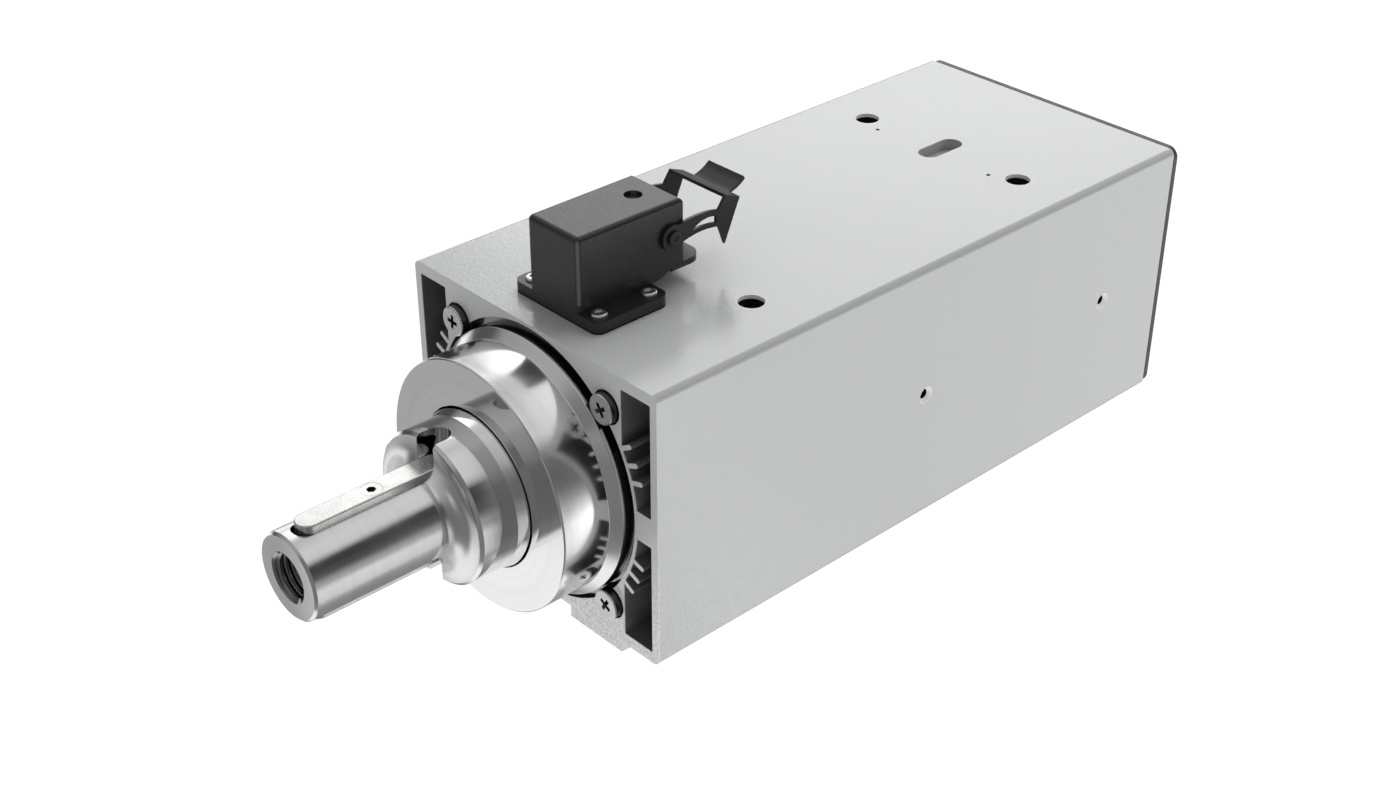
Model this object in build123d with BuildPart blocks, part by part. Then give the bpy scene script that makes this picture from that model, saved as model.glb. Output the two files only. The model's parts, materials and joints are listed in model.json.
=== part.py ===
import os
from math import sqrt

from build123d import *

# A high-frequency spindle motor: a square finned extrusion with a keyed shaft nose, on two foot rails.
# X runs across the motor, +Y from the shaft nose to the rear cover, Z up. The origin is on the floor, at
# the middle of the whole length. A depth is a distance behind the front face of the extrusion.

# Extrusion
housing_width = 142.0
housing_height = 120.0
housing_length = 305.0
housing_edge_radius = 3.0
side_wall = 3.5
roof_wall = 5.0
opening_wall = 1.5
tube_wall = 7.5
duct_wall = 0.7
duct_gap = 12.6
duct_edge_radius = 0.6

# Cooling fins, a fan of them on the bore tube in each corner duct
fin_count = 3
fin_first_angle = 17.0
fin_pitch_angle = 6.5
fin_height = 5.8
fin_thickness = 2.0
fin_root = 1.0

# Foot rails
rail_height = 5.2
rail_gap = 38.0
rail_width = 30.5

# Holes and the locating groove in the extrusion
foot_hole_radius = 4.25
foot_hole_recess_radius = 5.4
foot_hole_recess_depth = 3.0
foot_hole_depth = 16.0
foot_hole_spacing_x = 87.0
foot_hole_spacing_y = 158.0
foot_hole_first = 73.0
groove_width = 10.0
groove_length = 24.0
groove_depth = 5.0
dowel_hole_radius = 1.0
dowel_hole_depth = 4.0
dowel_spacing = 64.0
dowel_offset = 5.6
side_hole_radius = 2.1
side_hole_rim_radius = 3.7
side_hole_depth = 10.0
side_hole_first = 147.0
side_hole_spacing = 117.0

# Shaft, from the nose to the fan seat
nose_radius = 17.5
nose_length = 62.0
nose_chamfer = 1.0
nose_fillet = 6.0
nose_bore_radius = 8.65
nose_bore_depth = 34.0
nose_bore_mouth_radius = 10.2
collar_radius = 31.2
collar_length = 22.0
collar_chamfer = 1.5
collar_flare = 1.2
collar_flare_length = 4.0
collar_flare_gap = 1.0
bearing_shoulder_radius = 26.0
bearing_shoulder_length = 1.5
bearing_seat_radius = 20.0
nut_thread_radius = 19.6
rotor_seat_radius = 18.5
rotor_seat_overrun = 12.0
rear_shoulder_radius = 17.8
rear_seat_radius = 15.0
fan_seat_radius = 12.0
fan_seat_lead = 3.0

# Keys in the nose, above and below
key_width = 10.0
key_height = 8.0
key_seat_depth = 5.0
key_length = 64.0
key_chamfer = 0.4
keyway_land = 4.0
keyway_front_gap = 1.7
keyway_rear_gap = 3.3
key_screw_head_radius = 4.2
key_screw_radius = 2.0
key_screw_length = 14.0
key_screw_socket_radius = 1.9
key_screw_socket_depth = 2.0

# Front bearing housing
boss_reach = 28.0
boss_chamfer = 0.5
rim_gap = 3.0
rim_step = 3.6
rim_reach = 3.0
rim_cone_length = 3.5
flange_recess = 2.5
flange_thickness = 10.0
flange_fit = 0.2
spigot_length = 9.5
spigot_fit = 0.1
lip_thickness = 7.0
labyrinth_gap = 0.6
flange_screw_reach = 3.7
ear_radius = 6.8
ear_fit = 0.2
screw_hole_play = 0.3

# Front flange screws and washers
flange_screw_radius = 3.0
flange_screw_length = 35.0
flange_screw_head_radius = 6.2
flange_screw_head_height = 4.1
flange_screw_head_rounding = 1.2
flange_screw_cross_width = 1.5
flange_screw_cross_span = 6.4
flange_screw_cross_depth = 2.4
washer_radius = 6.6
washer_thickness = 1.6
tapping_reserve = 2.0

# Bearings
front_bearing_radius = 40.0
front_bearing_width = 18.0
front_ball_radius = 5.4
front_ball_count = 10
rear_bearing_radius = 31.0
rear_bearing_width = 16.0
rear_ball_radius = 4.4
rear_ball_count = 8
ring_shoulder_share = 0.62
race_gap = 0.3
ring_face_gap = 0.05
cage_thickness = 1.6
cage_rim = 1.5
cage_pocket_gap = 0.15
fit_gap = 0.05

# Bearing retainer, lock washer and lock nut
retainer_bore_radius = 31.5
retainer_flange_step = 0.6
retainer_flange_thickness = 5.0
retainer_screw_inset = 2.8
retainer_screw_radius = 2.0
retainer_screw_length = 14.0
retainer_screw_head_radius = 3.5
retainer_screw_head_height = 3.0
lock_washer_radius = 25.5
lock_washer_thickness = 1.5
nut_radius = 27.5
nut_width = 9.0
nut_chamfer = 1.0
nut_slot_count = 4
nut_slot_width = 6.0
nut_slot_depth = 2.6

# Stator, winding and rotor
stack_start = 62.0
rotor_radius = 28.5
air_gap = 0.5
slot_count = 18
slot_width = 4.4
slot_depth = 14.0
slot_liner = 0.15
coil_clearance = 2.5
coil_wall_gap = 6.0
coil_overhang = 20.0
coil_shield_gap = 6.0
coil_rounding = 4.0
coil_stack_gap = 0.3
coil_side_step = 1.2
end_ring_length = 9.0
end_ring_step = 1.0

# Motor leads, from the winding up through the roof
lead_radius = 3.0
lead_circle = 38.5
lead_bend = 7.0

# Rear bearing shield and its preload spring
chamber_depth = 49.0
chamber_wall = 6.0
shield_fit = 0.2
shield_plate_thickness = 6.0
shield_seat_overrun = 2.0
shield_lip_radius = 24.0
shield_screw_reach = 3.3
shield_ear_radius = 5.8
shield_screw_radius = 2.5
shield_screw_length = 18.0
shield_screw_head_radius = 4.5
shield_screw_head_height = 4.0
spring_space = 2.5
spring_thickness = 0.9
spring_inner_radius = 27.6

# Cooling fan, circlips and the windows that lead its air into the ducts
fan_gap = 5.0
fan_length = 22.0
fan_tip_gap = 8.0
fan_hub_radius = 19.0
fan_disc_setback = 2.0
fan_disc_thickness = 2.4
fan_blade_count = 9
fan_blade_width = 16.0
fan_blade_thickness = 2.0
fan_blade_lean = 25.0
circlip_width = 1.5
circlip_groove_depth = 0.7
circlip_reach = 2.5
shaft_end_length = 2.0
window_length = 31.0
window_height = 44.0

# Rear cover and gasket
cover_thickness = 2.5
gasket_thickness = 0.5
cover_corner_radius = 5.0
grille_inset = 12.0
grille_slot_count = 9
grille_slot_width = 4.4
grille_pitch = 8.6
cover_screw_inset_x = 5.7
cover_screw_inset_z = 7.0
cover_screw_radius = 2.5
cover_screw_length = 14.0
cover_screw_head_radius = 4.4
cover_screw_head_height = 2.6

# Connector housing on the roof
connector_setback = 12.6
connector_width = 29.0
connector_length = 52.0
connector_height = 36.0
connector_rounding = 2.2
connector_wall = 3.0
base_width = 49.4
base_length = 36.0
base_thickness = 4.2
base_corner_radius = 4.0
connector_gasket_thickness = 0.8
underside_length = 9.2
underside_rise = 2.7
underside_slope = 1.4
lip_reach = 11.0
lip_overlap = 6.0
lip_plate_rise = 6.5
lip_plate_thickness = 2.6
lip_corner_radius = 7.0
mouth_depth = 26.0
mouth_sill = 12.0
mouth_corner_radius = 2.0
dimple_radius = 3.65
dimple_depth = 1.8
dimple_setback = 12.2
cable_hole_radius = 8.5
cable_shaft_height = 30.0

# Connector screws, contact insert and pins
connector_screw_spacing_x = 38.2
connector_screw_spacing_y = 24.4
connector_screw_radius = 1.9
connector_screw_length = 12.0
connector_screw_head_radius = 3.3
connector_screw_head_height = 1.2
insert_length = 14.0
insert_setback = 7.0
insert_fit = 0.15
pin_radius = 1.2
pin_reach = 5.0
pin_tail = 2.0
pin_pitch_x = 5.2
pin_pitch_z = 7.0
pin_count_x = 3
pin_count_z = 2

# Locking lever: reaches are behind its pivot, heights are above it
lever_pivot_inset = 6.2
lever_pivot_height = 21.6
lever_side_gap = 0.35
lever_thickness = 1.3
lever_eye_radius = 5.4
lever_arm_length = 23.4
lever_arm_middle = 14.5
lever_arm_crown = 5.5
lever_arm_end_crown = 4.0
lever_arm_belly = -1.9
lever_arm_end_belly = -3.0
lever_bar_front = 27.1
lever_bar_front_height = 9.1
lever_bar_rear = 34.5
lever_bar_rear_height = 6.2
lever_hook_reach = 26.7
lever_hook_drop = 11.6
lever_slot_start = 9.8
lever_slot_height = 1.8
lever_slot_crown = 2.3
lever_tab_width = 20.0
lever_tab_length = 8.1
lever_tab_rise = 3.8
lever_tab_sag = 0.6
lever_pin_radius = 2.0
lever_pin_fit = 0.06
lever_pin_head_radius = 3.0
lever_pin_head_height = 0.9
lever_pin_head_gap = 0.3

# Places that follow from the sizes
shaft_reach = boss_reach + collar_length + nose_length
cover_seat = housing_length + gasket_thickness
rear_reach = cover_seat + cover_thickness + cover_screw_head_height
front_y = (shaft_reach - rear_reach) / 2
axis_z = rail_height + housing_height / 2
roof_z = rail_height + housing_height
tube_radius = housing_height / 2
stator_bore_radius = tube_radius - tube_wall
chamber_radius = tube_radius - chamber_wall
opening_radius = tube_radius - opening_wall
rim_radius = opening_radius - rim_gap
boss_radius = rim_radius - rim_step
flange_screw_offset = (opening_radius + flange_screw_reach) / sqrt(2)
flange_end = flange_recess + flange_thickness
shield_screw_offset = (chamber_radius + shield_screw_reach) / sqrt(2)
duct_inner = flange_screw_offset + ear_radius + ear_fit + duct_wall
duct_outer = housing_width / 2 - side_wall
duct_roof = housing_height / 2 - roof_wall
cover_screw_offset_x = duct_inner - cover_screw_inset_x
cover_screw_offset_z = housing_height / 2 - cover_screw_inset_z
collar_end = -boss_reach - collar_flare_gap
collar_flare_radius = collar_radius + collar_flare
seat_start = lip_thickness - boss_reach
seat_end = seat_start + 2 * front_bearing_width
chamber_start = housing_length - chamber_depth
rear_bearing_start = chamber_start - rear_bearing_width
shield_front = rear_bearing_start - shield_seat_overrun
stack_end = shield_front - coil_shield_gap - coil_overhang
stack_length = stack_end - stack_start
shield_end = chamber_start + shield_plate_thickness
fan_start = shield_end + fan_gap
fan_end = fan_start + fan_length
shaft_end = fan_end + circlip_width + shaft_end_length
spin_axis = Axis((0, 0, axis_z), (0, 1, 0))


def facing_front(depth):
    """A plane across the shaft axis at a depth, seen from the nose: X to the right, Z up."""
    return Plane(origin=(0, front_y + depth, axis_z), x_dir=(1, 0, 0), z_dir=(0, -1, 0))


def facing_rear(depth):
    """A plane across the shaft axis at a depth, seen from behind, so that extruding goes rearwards."""
    return Plane(origin=(0, front_y + depth, axis_z), x_dir=(-1, 0, 0), z_dir=(0, 1, 0))


def lengthwise(x=0.0, height=axis_z):
    """A plane along the motor at one X: depth to the right, and up from a height."""
    return Plane(origin=(x, front_y, height), x_dir=(0, 1, 0), z_dir=(1, 0, 0))


def on_roof(depth, rise=0.0):
    """A level plane above the roof, centred on the motor at a depth."""
    return Plane(origin=(0, front_y + depth, roof_z + rise))


def turned(*points):
    """A solid turned about the shaft axis from a closed profile of depth and radius."""
    with BuildSketch(lengthwise()) as profile:
        with BuildLine():
            Polyline(*points, close=True)
        make_face()
    revolve(profile.sketch, axis=spin_axis)


def turned_ring(start, end, inner, outer):
    """A plain ring about the shaft axis, from one depth to another."""
    turned((start, inner), (start, outer), (end, outer), (end, inner))


def bearing_ring(start, width, inner, outer, pitch_radius, ball_radius):
    """A bearing ring with a round groove that clears its balls."""
    with BuildSketch(lengthwise()) as profile:
        with Locations((start + width / 2, (inner + outer) / 2)):
            Rectangle(width - 2 * ring_face_gap, outer - inner)
        with Locations((start + width / 2, pitch_radius)):
            Circle(ball_radius + race_gap, mode=Mode.SUBTRACT)
    revolve(profile.sketch, axis=spin_axis)


def ball_cage(middle, pitch_radius, ball_radius, count):
    """A ring between the bearing rings, with a round pocket for each ball."""
    half_width = ball_radius + cage_pocket_gap + cage_rim
    half_depth = cage_thickness / 2
    turned_ring(middle - half_width, middle + half_width, pitch_radius - half_depth, pitch_radius + half_depth)
    with Locations(facing_front(middle)):
        with PolarLocations(pitch_radius, count):
            Cylinder(
                ball_radius + cage_pocket_gap,
                ball_radius,
                rotation=(0, 90, 0),
                mode=Mode.SUBTRACT,
            )


def balls(middle, pitch_radius, ball_radius, count):
    """A row of balls about the shaft axis."""
    with Locations(facing_front(middle)):
        with PolarLocations(pitch_radius, count):
            Sphere(ball_radius)


def bore_four(face, spacing_x, spacing_y, radius, depth):
    """Four round holes in a rectangle, sunk from a face."""
    with BuildSketch(face) as holes:
        with GridLocations(spacing_x, spacing_y, 2, 2):
            Circle(radius)
    extrude(holes.sketch, amount=-depth, mode=Mode.SUBTRACT)


def socket_screws(face, spacing_x, spacing_y, radius, length, head_radius, head_height):
    """Four socket screws in a rectangle, their heads standing on a face and their shanks below it."""
    with BuildSketch(face) as shanks:
        with GridLocations(spacing_x, spacing_y, 2, 2):
            Circle(radius)
    extrude(shanks.sketch, amount=-length)
    with BuildSketch(face) as heads:
        with GridLocations(spacing_x, spacing_y, 2, 2):
            Circle(head_radius)
    extrude(heads.sketch, amount=head_height)
    with BuildSketch(face.offset(head_height)) as sockets:
        with GridLocations(spacing_x, spacing_y, 2, 2):
            RegularPolygon(radius, 6)
    extrude(sockets.sketch, amount=-head_height / 2, mode=Mode.SUBTRACT)


os.makedirs("parts", exist_ok=True)

# Extruded housing: outer section and foot rails, corner ducts with fins, bore, seats, holes and groove
fin_middle = tube_radius + (fin_height - fin_root) / 2
fin_spread = (fin_count - 1) * fin_pitch_angle
fin_last_angle = fin_first_angle + fin_spread
fin_starts = (fin_first_angle, 180 - fin_last_angle, 180 + fin_first_angle, 360 - fin_last_angle)
duct_width = duct_outer - duct_inner
duct_height = duct_roof - duct_gap / 2
shield_spot = 2 * shield_screw_offset
flange_spot = 2 * flange_screw_offset
flange_tapping = flange_screw_length - flange_thickness - washer_thickness + tapping_reserve
foot_hole_middle = front_y + foot_hole_first + foot_hole_spacing_y / 2
groove_middle = foot_hole_first + foot_hole_spacing_y
connector_middle = connector_setback + base_length / 2
roof_over_bore = housing_height / 2 - sqrt(stator_bore_radius**2 - cable_hole_radius**2)
rail_end = rail_gap / 2 + rail_width
rail_root = (roof_wall - housing_height) / 2

with BuildPart() as housing:
    with BuildSketch(facing_rear(0)):
        RectangleRounded(housing_width, housing_height, housing_edge_radius)
        for side in (1, -1):
            with BuildLine():
                Polyline(
                    (side * rail_gap / 2, rail_root),
                    (side * rail_gap / 2, -axis_z),
                    (side * rail_end, -axis_z),
                    (side * (rail_end + rail_height), -housing_height / 2),
                    (side * rail_end, rail_root),
                    close=True,
                )
            make_face()
    extrude(amount=housing_length)
    with BuildSketch(facing_rear(0)):
        with GridLocations(duct_outer + duct_inner, duct_roof + duct_gap / 2, 2, 2):
            RectangleRounded(duct_width, duct_height, duct_edge_radius)
        Circle(tube_radius, mode=Mode.SUBTRACT)
        for fin_start in fin_starts:
            with PolarLocations(fin_middle, fin_count, fin_start, fin_spread, endpoint=True):
                SlotOverall(fin_height + fin_root, fin_thickness, mode=Mode.SUBTRACT)
        Circle(stator_bore_radius)
    extrude(amount=housing_length, mode=Mode.SUBTRACT)
    with BuildSketch(facing_rear(0)):
        Circle(opening_radius)
        with GridLocations(flange_spot, flange_spot, 2, 2):
            Circle(ear_radius + ear_fit)
    extrude(amount=flange_end, mode=Mode.SUBTRACT)
    with BuildSketch(facing_rear(chamber_start)):
        Circle(chamber_radius)
        with GridLocations(shield_spot, shield_spot, 2, 2):
            Circle(shield_ear_radius + ear_fit)
    extrude(amount=chamber_depth, mode=Mode.SUBTRACT)
    with BuildSketch(facing_rear(housing_length - window_length)):
        Rectangle(2 * duct_outer, window_height)
    extrude(amount=window_length, mode=Mode.SUBTRACT)
    bore_four(
        facing_front(flange_end),
        flange_spot,
        flange_spot,
        flange_screw_radius + fit_gap,
        flange_tapping,
    )
    bore_four(
        facing_rear(chamber_start),
        shield_spot,
        shield_spot,
        shield_screw_radius + fit_gap,
        shield_screw_length - shield_plate_thickness + tapping_reserve,
    )
    bore_four(
        facing_rear(housing_length),
        2 * cover_screw_offset_x,
        2 * cover_screw_offset_z,
        cover_screw_radius + fit_gap,
        cover_screw_length + tapping_reserve,
    )
    for face_height, outward in ((roof_z, 1), (0, -1)):
        with Locations(Plane(origin=(0, foot_hole_middle, face_height), z_dir=(0, 0, outward))):
            with GridLocations(foot_hole_spacing_x, foot_hole_spacing_y, 2, 2):
                CounterBoreHole(
                    foot_hole_radius,
                    foot_hole_recess_radius,
                    foot_hole_recess_depth,
                    foot_hole_depth,
                )
    with BuildSketch(on_roof(groove_middle)):
        SlotOverall(groove_length, groove_width, rotation=90)
    extrude(amount=-groove_depth, mode=Mode.SUBTRACT)
    with BuildSketch(on_roof(groove_middle - dowel_offset)):
        with GridLocations(dowel_spacing, 0, 2, 1):
            Circle(dowel_hole_radius)
    extrude(amount=-dowel_hole_depth, mode=Mode.SUBTRACT)
    with BuildSketch(on_roof(connector_middle)):
        Circle(cable_hole_radius)
    extrude(amount=-roof_over_bore, mode=Mode.SUBTRACT)
    bore_four(
        on_roof(connector_middle),
        connector_screw_spacing_x,
        connector_screw_spacing_y,
        connector_screw_radius + fit_gap,
        connector_screw_length - base_thickness,
    )
    side_hole_middle = front_y + side_hole_first + side_hole_spacing / 2
    for side in (1, -1):
        flank = Plane(
            origin=(side * housing_width / 2, side_hole_middle, axis_z),
            x_dir=(0, 1, 0),
            z_dir=(side, 0, 0),
        )
        with Locations(flank):
            with GridLocations(side_hole_spacing, 0, 2, 1):
                CounterSinkHole(side_hole_radius, side_hole_rim_radius, side_hole_depth, 90)
housing.part.label = "housing"
export_step(housing.part, "parts/housing.step")

# Front bearing housing: boss, rim, flange with ears, spigot and the seat of the bearing pair
lip_bore_radius = collar_flare_radius + labyrinth_gap
flange_radius = opening_radius - flange_fit
spigot_radius = stator_bore_radius - spigot_fit
spigot_end = flange_end + spigot_length
bearing_bore_radius = front_bearing_radius + fit_gap
retainer_flange_radius = spigot_radius - retainer_flange_step
retainer_spot = (front_bearing_radius + retainer_screw_inset) * sqrt(2)
retainer_tapping = retainer_screw_length - retainer_flange_thickness + tapping_reserve / 2

with BuildPart() as front_bearing_housing:
    turned(
        (-boss_reach, lip_bore_radius),
        (-boss_reach, boss_radius - boss_chamfer),
        (boss_chamfer - boss_reach, boss_radius),
        (-rim_reach - rim_cone_length, boss_radius),
        (-rim_reach, rim_radius),
        (flange_recess, rim_radius),
        (flange_recess, flange_radius),
        (flange_end, flange_radius),
        (flange_end, spigot_radius),
        (spigot_end, spigot_radius),
        (spigot_end, bearing_bore_radius),
        (seat_start, bearing_bore_radius),
        (seat_start, lip_bore_radius),
    )
    with BuildSketch(facing_rear(flange_recess)):
        with GridLocations(flange_spot, flange_spot, 2, 2):
            Circle(ear_radius)
    extrude(amount=flange_thickness)
    bore_four(
        facing_front(flange_recess),
        flange_spot,
        flange_spot,
        flange_screw_radius + screw_hole_play,
        flange_thickness,
    )
    bore_four(
        facing_rear(spigot_end),
        retainer_spot,
        retainer_spot,
        retainer_screw_radius + fit_gap,
        retainer_tapping,
    )
front_bearing_housing.part.label = "front_bearing_housing"
export_step(front_bearing_housing.part, "parts/front_bearing_housing.step")

# Flange washers and cross-recessed flange screws
washer_face = flange_recess - washer_thickness

with BuildPart() as front_flange_washers:
    with BuildSketch(facing_front(flange_recess)):
        with GridLocations(flange_spot, flange_spot, 2, 2):
            Circle(washer_radius)
            Circle(flange_screw_radius + screw_hole_play, mode=Mode.SUBTRACT)
    extrude(amount=washer_thickness)
front_flange_washers.part.label = "front_flange_washers"
export_step(front_flange_washers.part, "parts/front_flange_washers.step")

with BuildPart() as front_flange_screws:
    with BuildSketch(facing_front(washer_face)):
        with GridLocations(flange_spot, flange_spot, 2, 2):
            Circle(flange_screw_head_radius)
    extrude(amount=flange_screw_head_height)
    head_rims = front_flange_screws.edges().group_by(Axis.Y)[0]
    fillet(head_rims, radius=flange_screw_head_rounding)
    with BuildSketch(facing_front(washer_face - flange_screw_head_height)):
        with GridLocations(flange_spot, flange_spot, 2, 2):
            Rectangle(flange_screw_cross_span, flange_screw_cross_width)
            Rectangle(flange_screw_cross_width, flange_screw_cross_span)
    extrude(amount=-flange_screw_cross_depth, mode=Mode.SUBTRACT)
    with BuildSketch(facing_front(washer_face)):
        with GridLocations(flange_spot, flange_spot, 2, 2):
            Circle(flange_screw_radius)
    extrude(amount=-flange_screw_length)
front_flange_screws.part.label = "front_flange_screws"
export_step(front_flange_screws.part, "parts/front_flange_screws.step")

# Spindle shaft: keyed nose, collar, bearing seats, nut thread, rotor seat and fan seat
collar_front = -boss_reach - collar_length
flare_start = collar_end - collar_flare_length
shoulder_start = seat_start - bearing_shoulder_length
nut_start = seat_end + lock_washer_thickness
thread_end = nut_start + nut_width + fit_gap
rotor_seat_start = stack_start - rotor_seat_overrun
rotor_seat_end = stack_end + rotor_seat_overrun
clip_start = chamber_start + ring_face_gap
fan_seat_start = clip_start + circlip_width + fan_seat_lead
keyway_start = keyway_land - shaft_reach
keyway_length = keyway_front_gap + key_length + keyway_rear_gap
key_floor_height = nose_radius - key_seat_depth
key_middle = keyway_front_gap + key_length / 2
key_screw_hole_depth = key_screw_length - key_height + tapping_reserve / 2


def key_seat(side, rise=0.0):
    """The floor of the upper or the lower keyway, or a plane above it, centred on the key."""
    return Plane(
        origin=(0, front_y + keyway_start + key_middle, axis_z + side * (key_floor_height + rise)),
        x_dir=(0, 1, 0),
        z_dir=(0, 0, side),
    )


with BuildPart() as spindle_shaft:
    turned(
        (-shaft_reach, 0),
        (-shaft_reach, nose_radius - nose_chamfer),
        (nose_chamfer - shaft_reach, nose_radius),
        (collar_front, nose_radius),
        (collar_front, collar_radius - collar_chamfer),
        (collar_front + collar_chamfer, collar_radius),
        (flare_start, collar_radius),
        (collar_end, collar_flare_radius),
        (shoulder_start, collar_flare_radius),
        (shoulder_start, bearing_shoulder_radius),
        (seat_start, bearing_shoulder_radius),
        (seat_start, bearing_seat_radius),
        (seat_end, bearing_seat_radius),
        (seat_end, nut_thread_radius),
        (thread_end, nut_thread_radius),
        (thread_end, rotor_seat_radius),
        (rotor_seat_end, rotor_seat_radius),
        (rotor_seat_end, rear_shoulder_radius),
        (rear_bearing_start, rear_shoulder_radius),
        (rear_bearing_start, rear_seat_radius),
        (fan_seat_start, rear_seat_radius),
        (fan_seat_start, fan_seat_radius),
        (shaft_end, fan_seat_radius),
        (shaft_end, 0),
    )
    nose_root = spindle_shaft.edges().filter_by(GeomType.CIRCLE)
    nose_root = nose_root.filter_by(lambda edge: abs(edge.radius - nose_radius) < fit_gap)
    fillet(nose_root.sort_by(Axis.Y)[-1], radius=nose_fillet)
    for side in (1, -1):
        with BuildSketch(key_seat(side)):
            with Locations(((keyway_rear_gap - keyway_front_gap) / 2, 0)):
                SlotOverall(keyway_length, key_width + 2 * fit_gap)
        extrude(amount=collar_flare_radius, mode=Mode.SUBTRACT)
        with BuildSketch(key_seat(side)):
            Circle(key_screw_radius + fit_gap)
        extrude(amount=-key_screw_hole_depth, mode=Mode.SUBTRACT)
    with Locations(facing_front(-shaft_reach)):
        CounterSinkHole(nose_bore_radius, nose_bore_mouth_radius, nose_bore_depth, 90)
    for groove_start, seat_radius in ((clip_start, rear_seat_radius), (fan_end, fan_seat_radius)):
        with BuildSketch(facing_rear(groove_start)):
            Circle(seat_radius + fit_gap)
            Circle(seat_radius - circlip_groove_depth, mode=Mode.SUBTRACT)
        extrude(amount=circlip_width, mode=Mode.SUBTRACT)
spindle_shaft.part.label = "spindle_shaft"
export_step(spindle_shaft.part, "parts/spindle_shaft.step")

# Keys and their countersunk screws
with BuildPart() as shaft_keys:
    for side in (1, -1):
        with BuildSketch(key_seat(side)):
            SlotOverall(key_length, key_width)
        extrude(amount=key_height)
        key_top = shaft_keys.faces().sort_by(Axis.Z)[-1 if side == 1 else 0]
        chamfer(key_top.edges(), length=key_chamfer)
        with Locations(key_seat(side, key_height)):
            CounterSinkHole(key_screw_radius + screw_hole_play, key_screw_head_radius, key_height, 90)
shaft_keys.part.label = "shaft_keys"
export_step(shaft_keys.part, "parts/shaft_keys.step")

key_screw_cone = key_screw_head_radius - fit_gap - key_screw_radius
key_screw_top = key_floor_height + key_height - fit_gap
key_screw_y = front_y + keyway_start + key_middle

with BuildPart() as key_screws:
    with BuildSketch(Plane(origin=(0, key_screw_y, axis_z), x_dir=(0, 1, 0), z_dir=(1, 0, 0))):
        with BuildLine():
            Polyline(
                (0, key_screw_top),
                (key_screw_radius + key_screw_cone, key_screw_top),
                (key_screw_radius, key_screw_top - key_screw_cone),
                (key_screw_radius, key_screw_top - key_screw_length),
                (0, key_screw_top - key_screw_length),
                close=True,
            )
        make_face()
    revolve(axis=Axis((0, key_screw_y, 0), (0, 0, 1)))
    with BuildSketch(key_seat(1, key_height)):
        RegularPolygon(key_screw_socket_radius, 6)
    extrude(amount=-key_screw_socket_depth, mode=Mode.SUBTRACT)
    mirror(about=Plane.XY.offset(axis_z))
key_screws.part.label = "key_screws"
export_step(key_screws.part, "parts/key_screws.step")

# Front bearing pair: inner rings on the shaft, outer rings in the housing, balls and cages between
front_pitch = (front_bearing_radius + bearing_seat_radius) / 2
front_shoulder = ring_shoulder_share * front_ball_radius
front_rows = (seat_start, seat_start + front_bearing_width)

with BuildPart() as front_bearing_outer_rings:
    for row in front_rows:
        bearing_ring(
            row,
            front_bearing_width,
            front_pitch + front_shoulder,
            front_bearing_radius,
            front_pitch,
            front_ball_radius,
        )
front_bearing_outer_rings.part.label = "front_bearing_outer_rings"
export_step(front_bearing_outer_rings.part, "parts/front_bearing_outer_rings.step")

with BuildPart() as front_bearing_inner_rings:
    for row in front_rows:
        bearing_ring(
            row,
            front_bearing_width,
            bearing_seat_radius + fit_gap,
            front_pitch - front_shoulder,
            front_pitch,
            front_ball_radius,
        )
front_bearing_inner_rings.part.label = "front_bearing_inner_rings"
export_step(front_bearing_inner_rings.part, "parts/front_bearing_inner_rings.step")

with BuildPart() as front_balls:
    for row in front_rows:
        balls(row + front_bearing_width / 2, front_pitch, front_ball_radius, front_ball_count)
front_balls.part.label = "front_balls"
export_step(front_balls.part, "parts/front_balls.step")

with BuildPart() as front_ball_cages:
    for row in front_rows:
        ball_cage(row + front_bearing_width / 2, front_pitch, front_ball_radius, front_ball_count)
front_ball_cages.part.label = "front_ball_cages"
export_step(front_ball_cages.part, "parts/front_ball_cages.step")

# Retainer ring behind the front bearings, with its screws
retainer_seat = spigot_end
retainer_face = retainer_seat + retainer_flange_thickness

with BuildPart() as bearing_retainer:
    turned(
        (seat_end, retainer_bore_radius),
        (seat_end, front_bearing_radius),
        (retainer_seat, front_bearing_radius),
        (retainer_seat, retainer_flange_radius),
        (retainer_face, retainer_flange_radius),
        (retainer_face, retainer_bore_radius),
    )
    bore_four(
        facing_rear(retainer_face),
        retainer_spot,
        retainer_spot,
        retainer_screw_radius + screw_hole_play,
        retainer_flange_thickness,
    )
bearing_retainer.part.label = "bearing_retainer"
export_step(bearing_retainer.part, "parts/bearing_retainer.step")

with BuildPart() as retainer_screws:
    socket_screws(
        facing_rear(retainer_face),
        retainer_spot,
        retainer_spot,
        retainer_screw_radius,
        retainer_screw_length,
        retainer_screw_head_radius,
        retainer_screw_head_height,
    )
retainer_screws.part.label = "retainer_screws"
export_step(retainer_screws.part, "parts/retainer_screws.step")

# Lock washer and slotted lock nut that hold the inner rings
with BuildPart() as lock_washer:
    turned_ring(seat_end, nut_start - ring_face_gap, nut_thread_radius + fit_gap, lock_washer_radius)
lock_washer.part.label = "lock_washer"
export_step(lock_washer.part, "parts/lock_washer.step")

with BuildPart() as lock_nut:
    turned(
        (nut_start, nut_thread_radius + fit_gap),
        (nut_start, nut_radius),
        (nut_start + nut_width - nut_chamfer, nut_radius),
        (nut_start + nut_width, nut_radius - nut_chamfer),
        (nut_start + nut_width, nut_thread_radius + fit_gap),
    )
    with BuildSketch(facing_rear(nut_start)):
        with PolarLocations(nut_radius, nut_slot_count):
            Rectangle(2 * nut_slot_depth, nut_slot_width)
    extrude(amount=nut_width, mode=Mode.SUBTRACT)
lock_nut.part.label = "lock_nut"
export_step(lock_nut.part, "parts/lock_nut.step")

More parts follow.
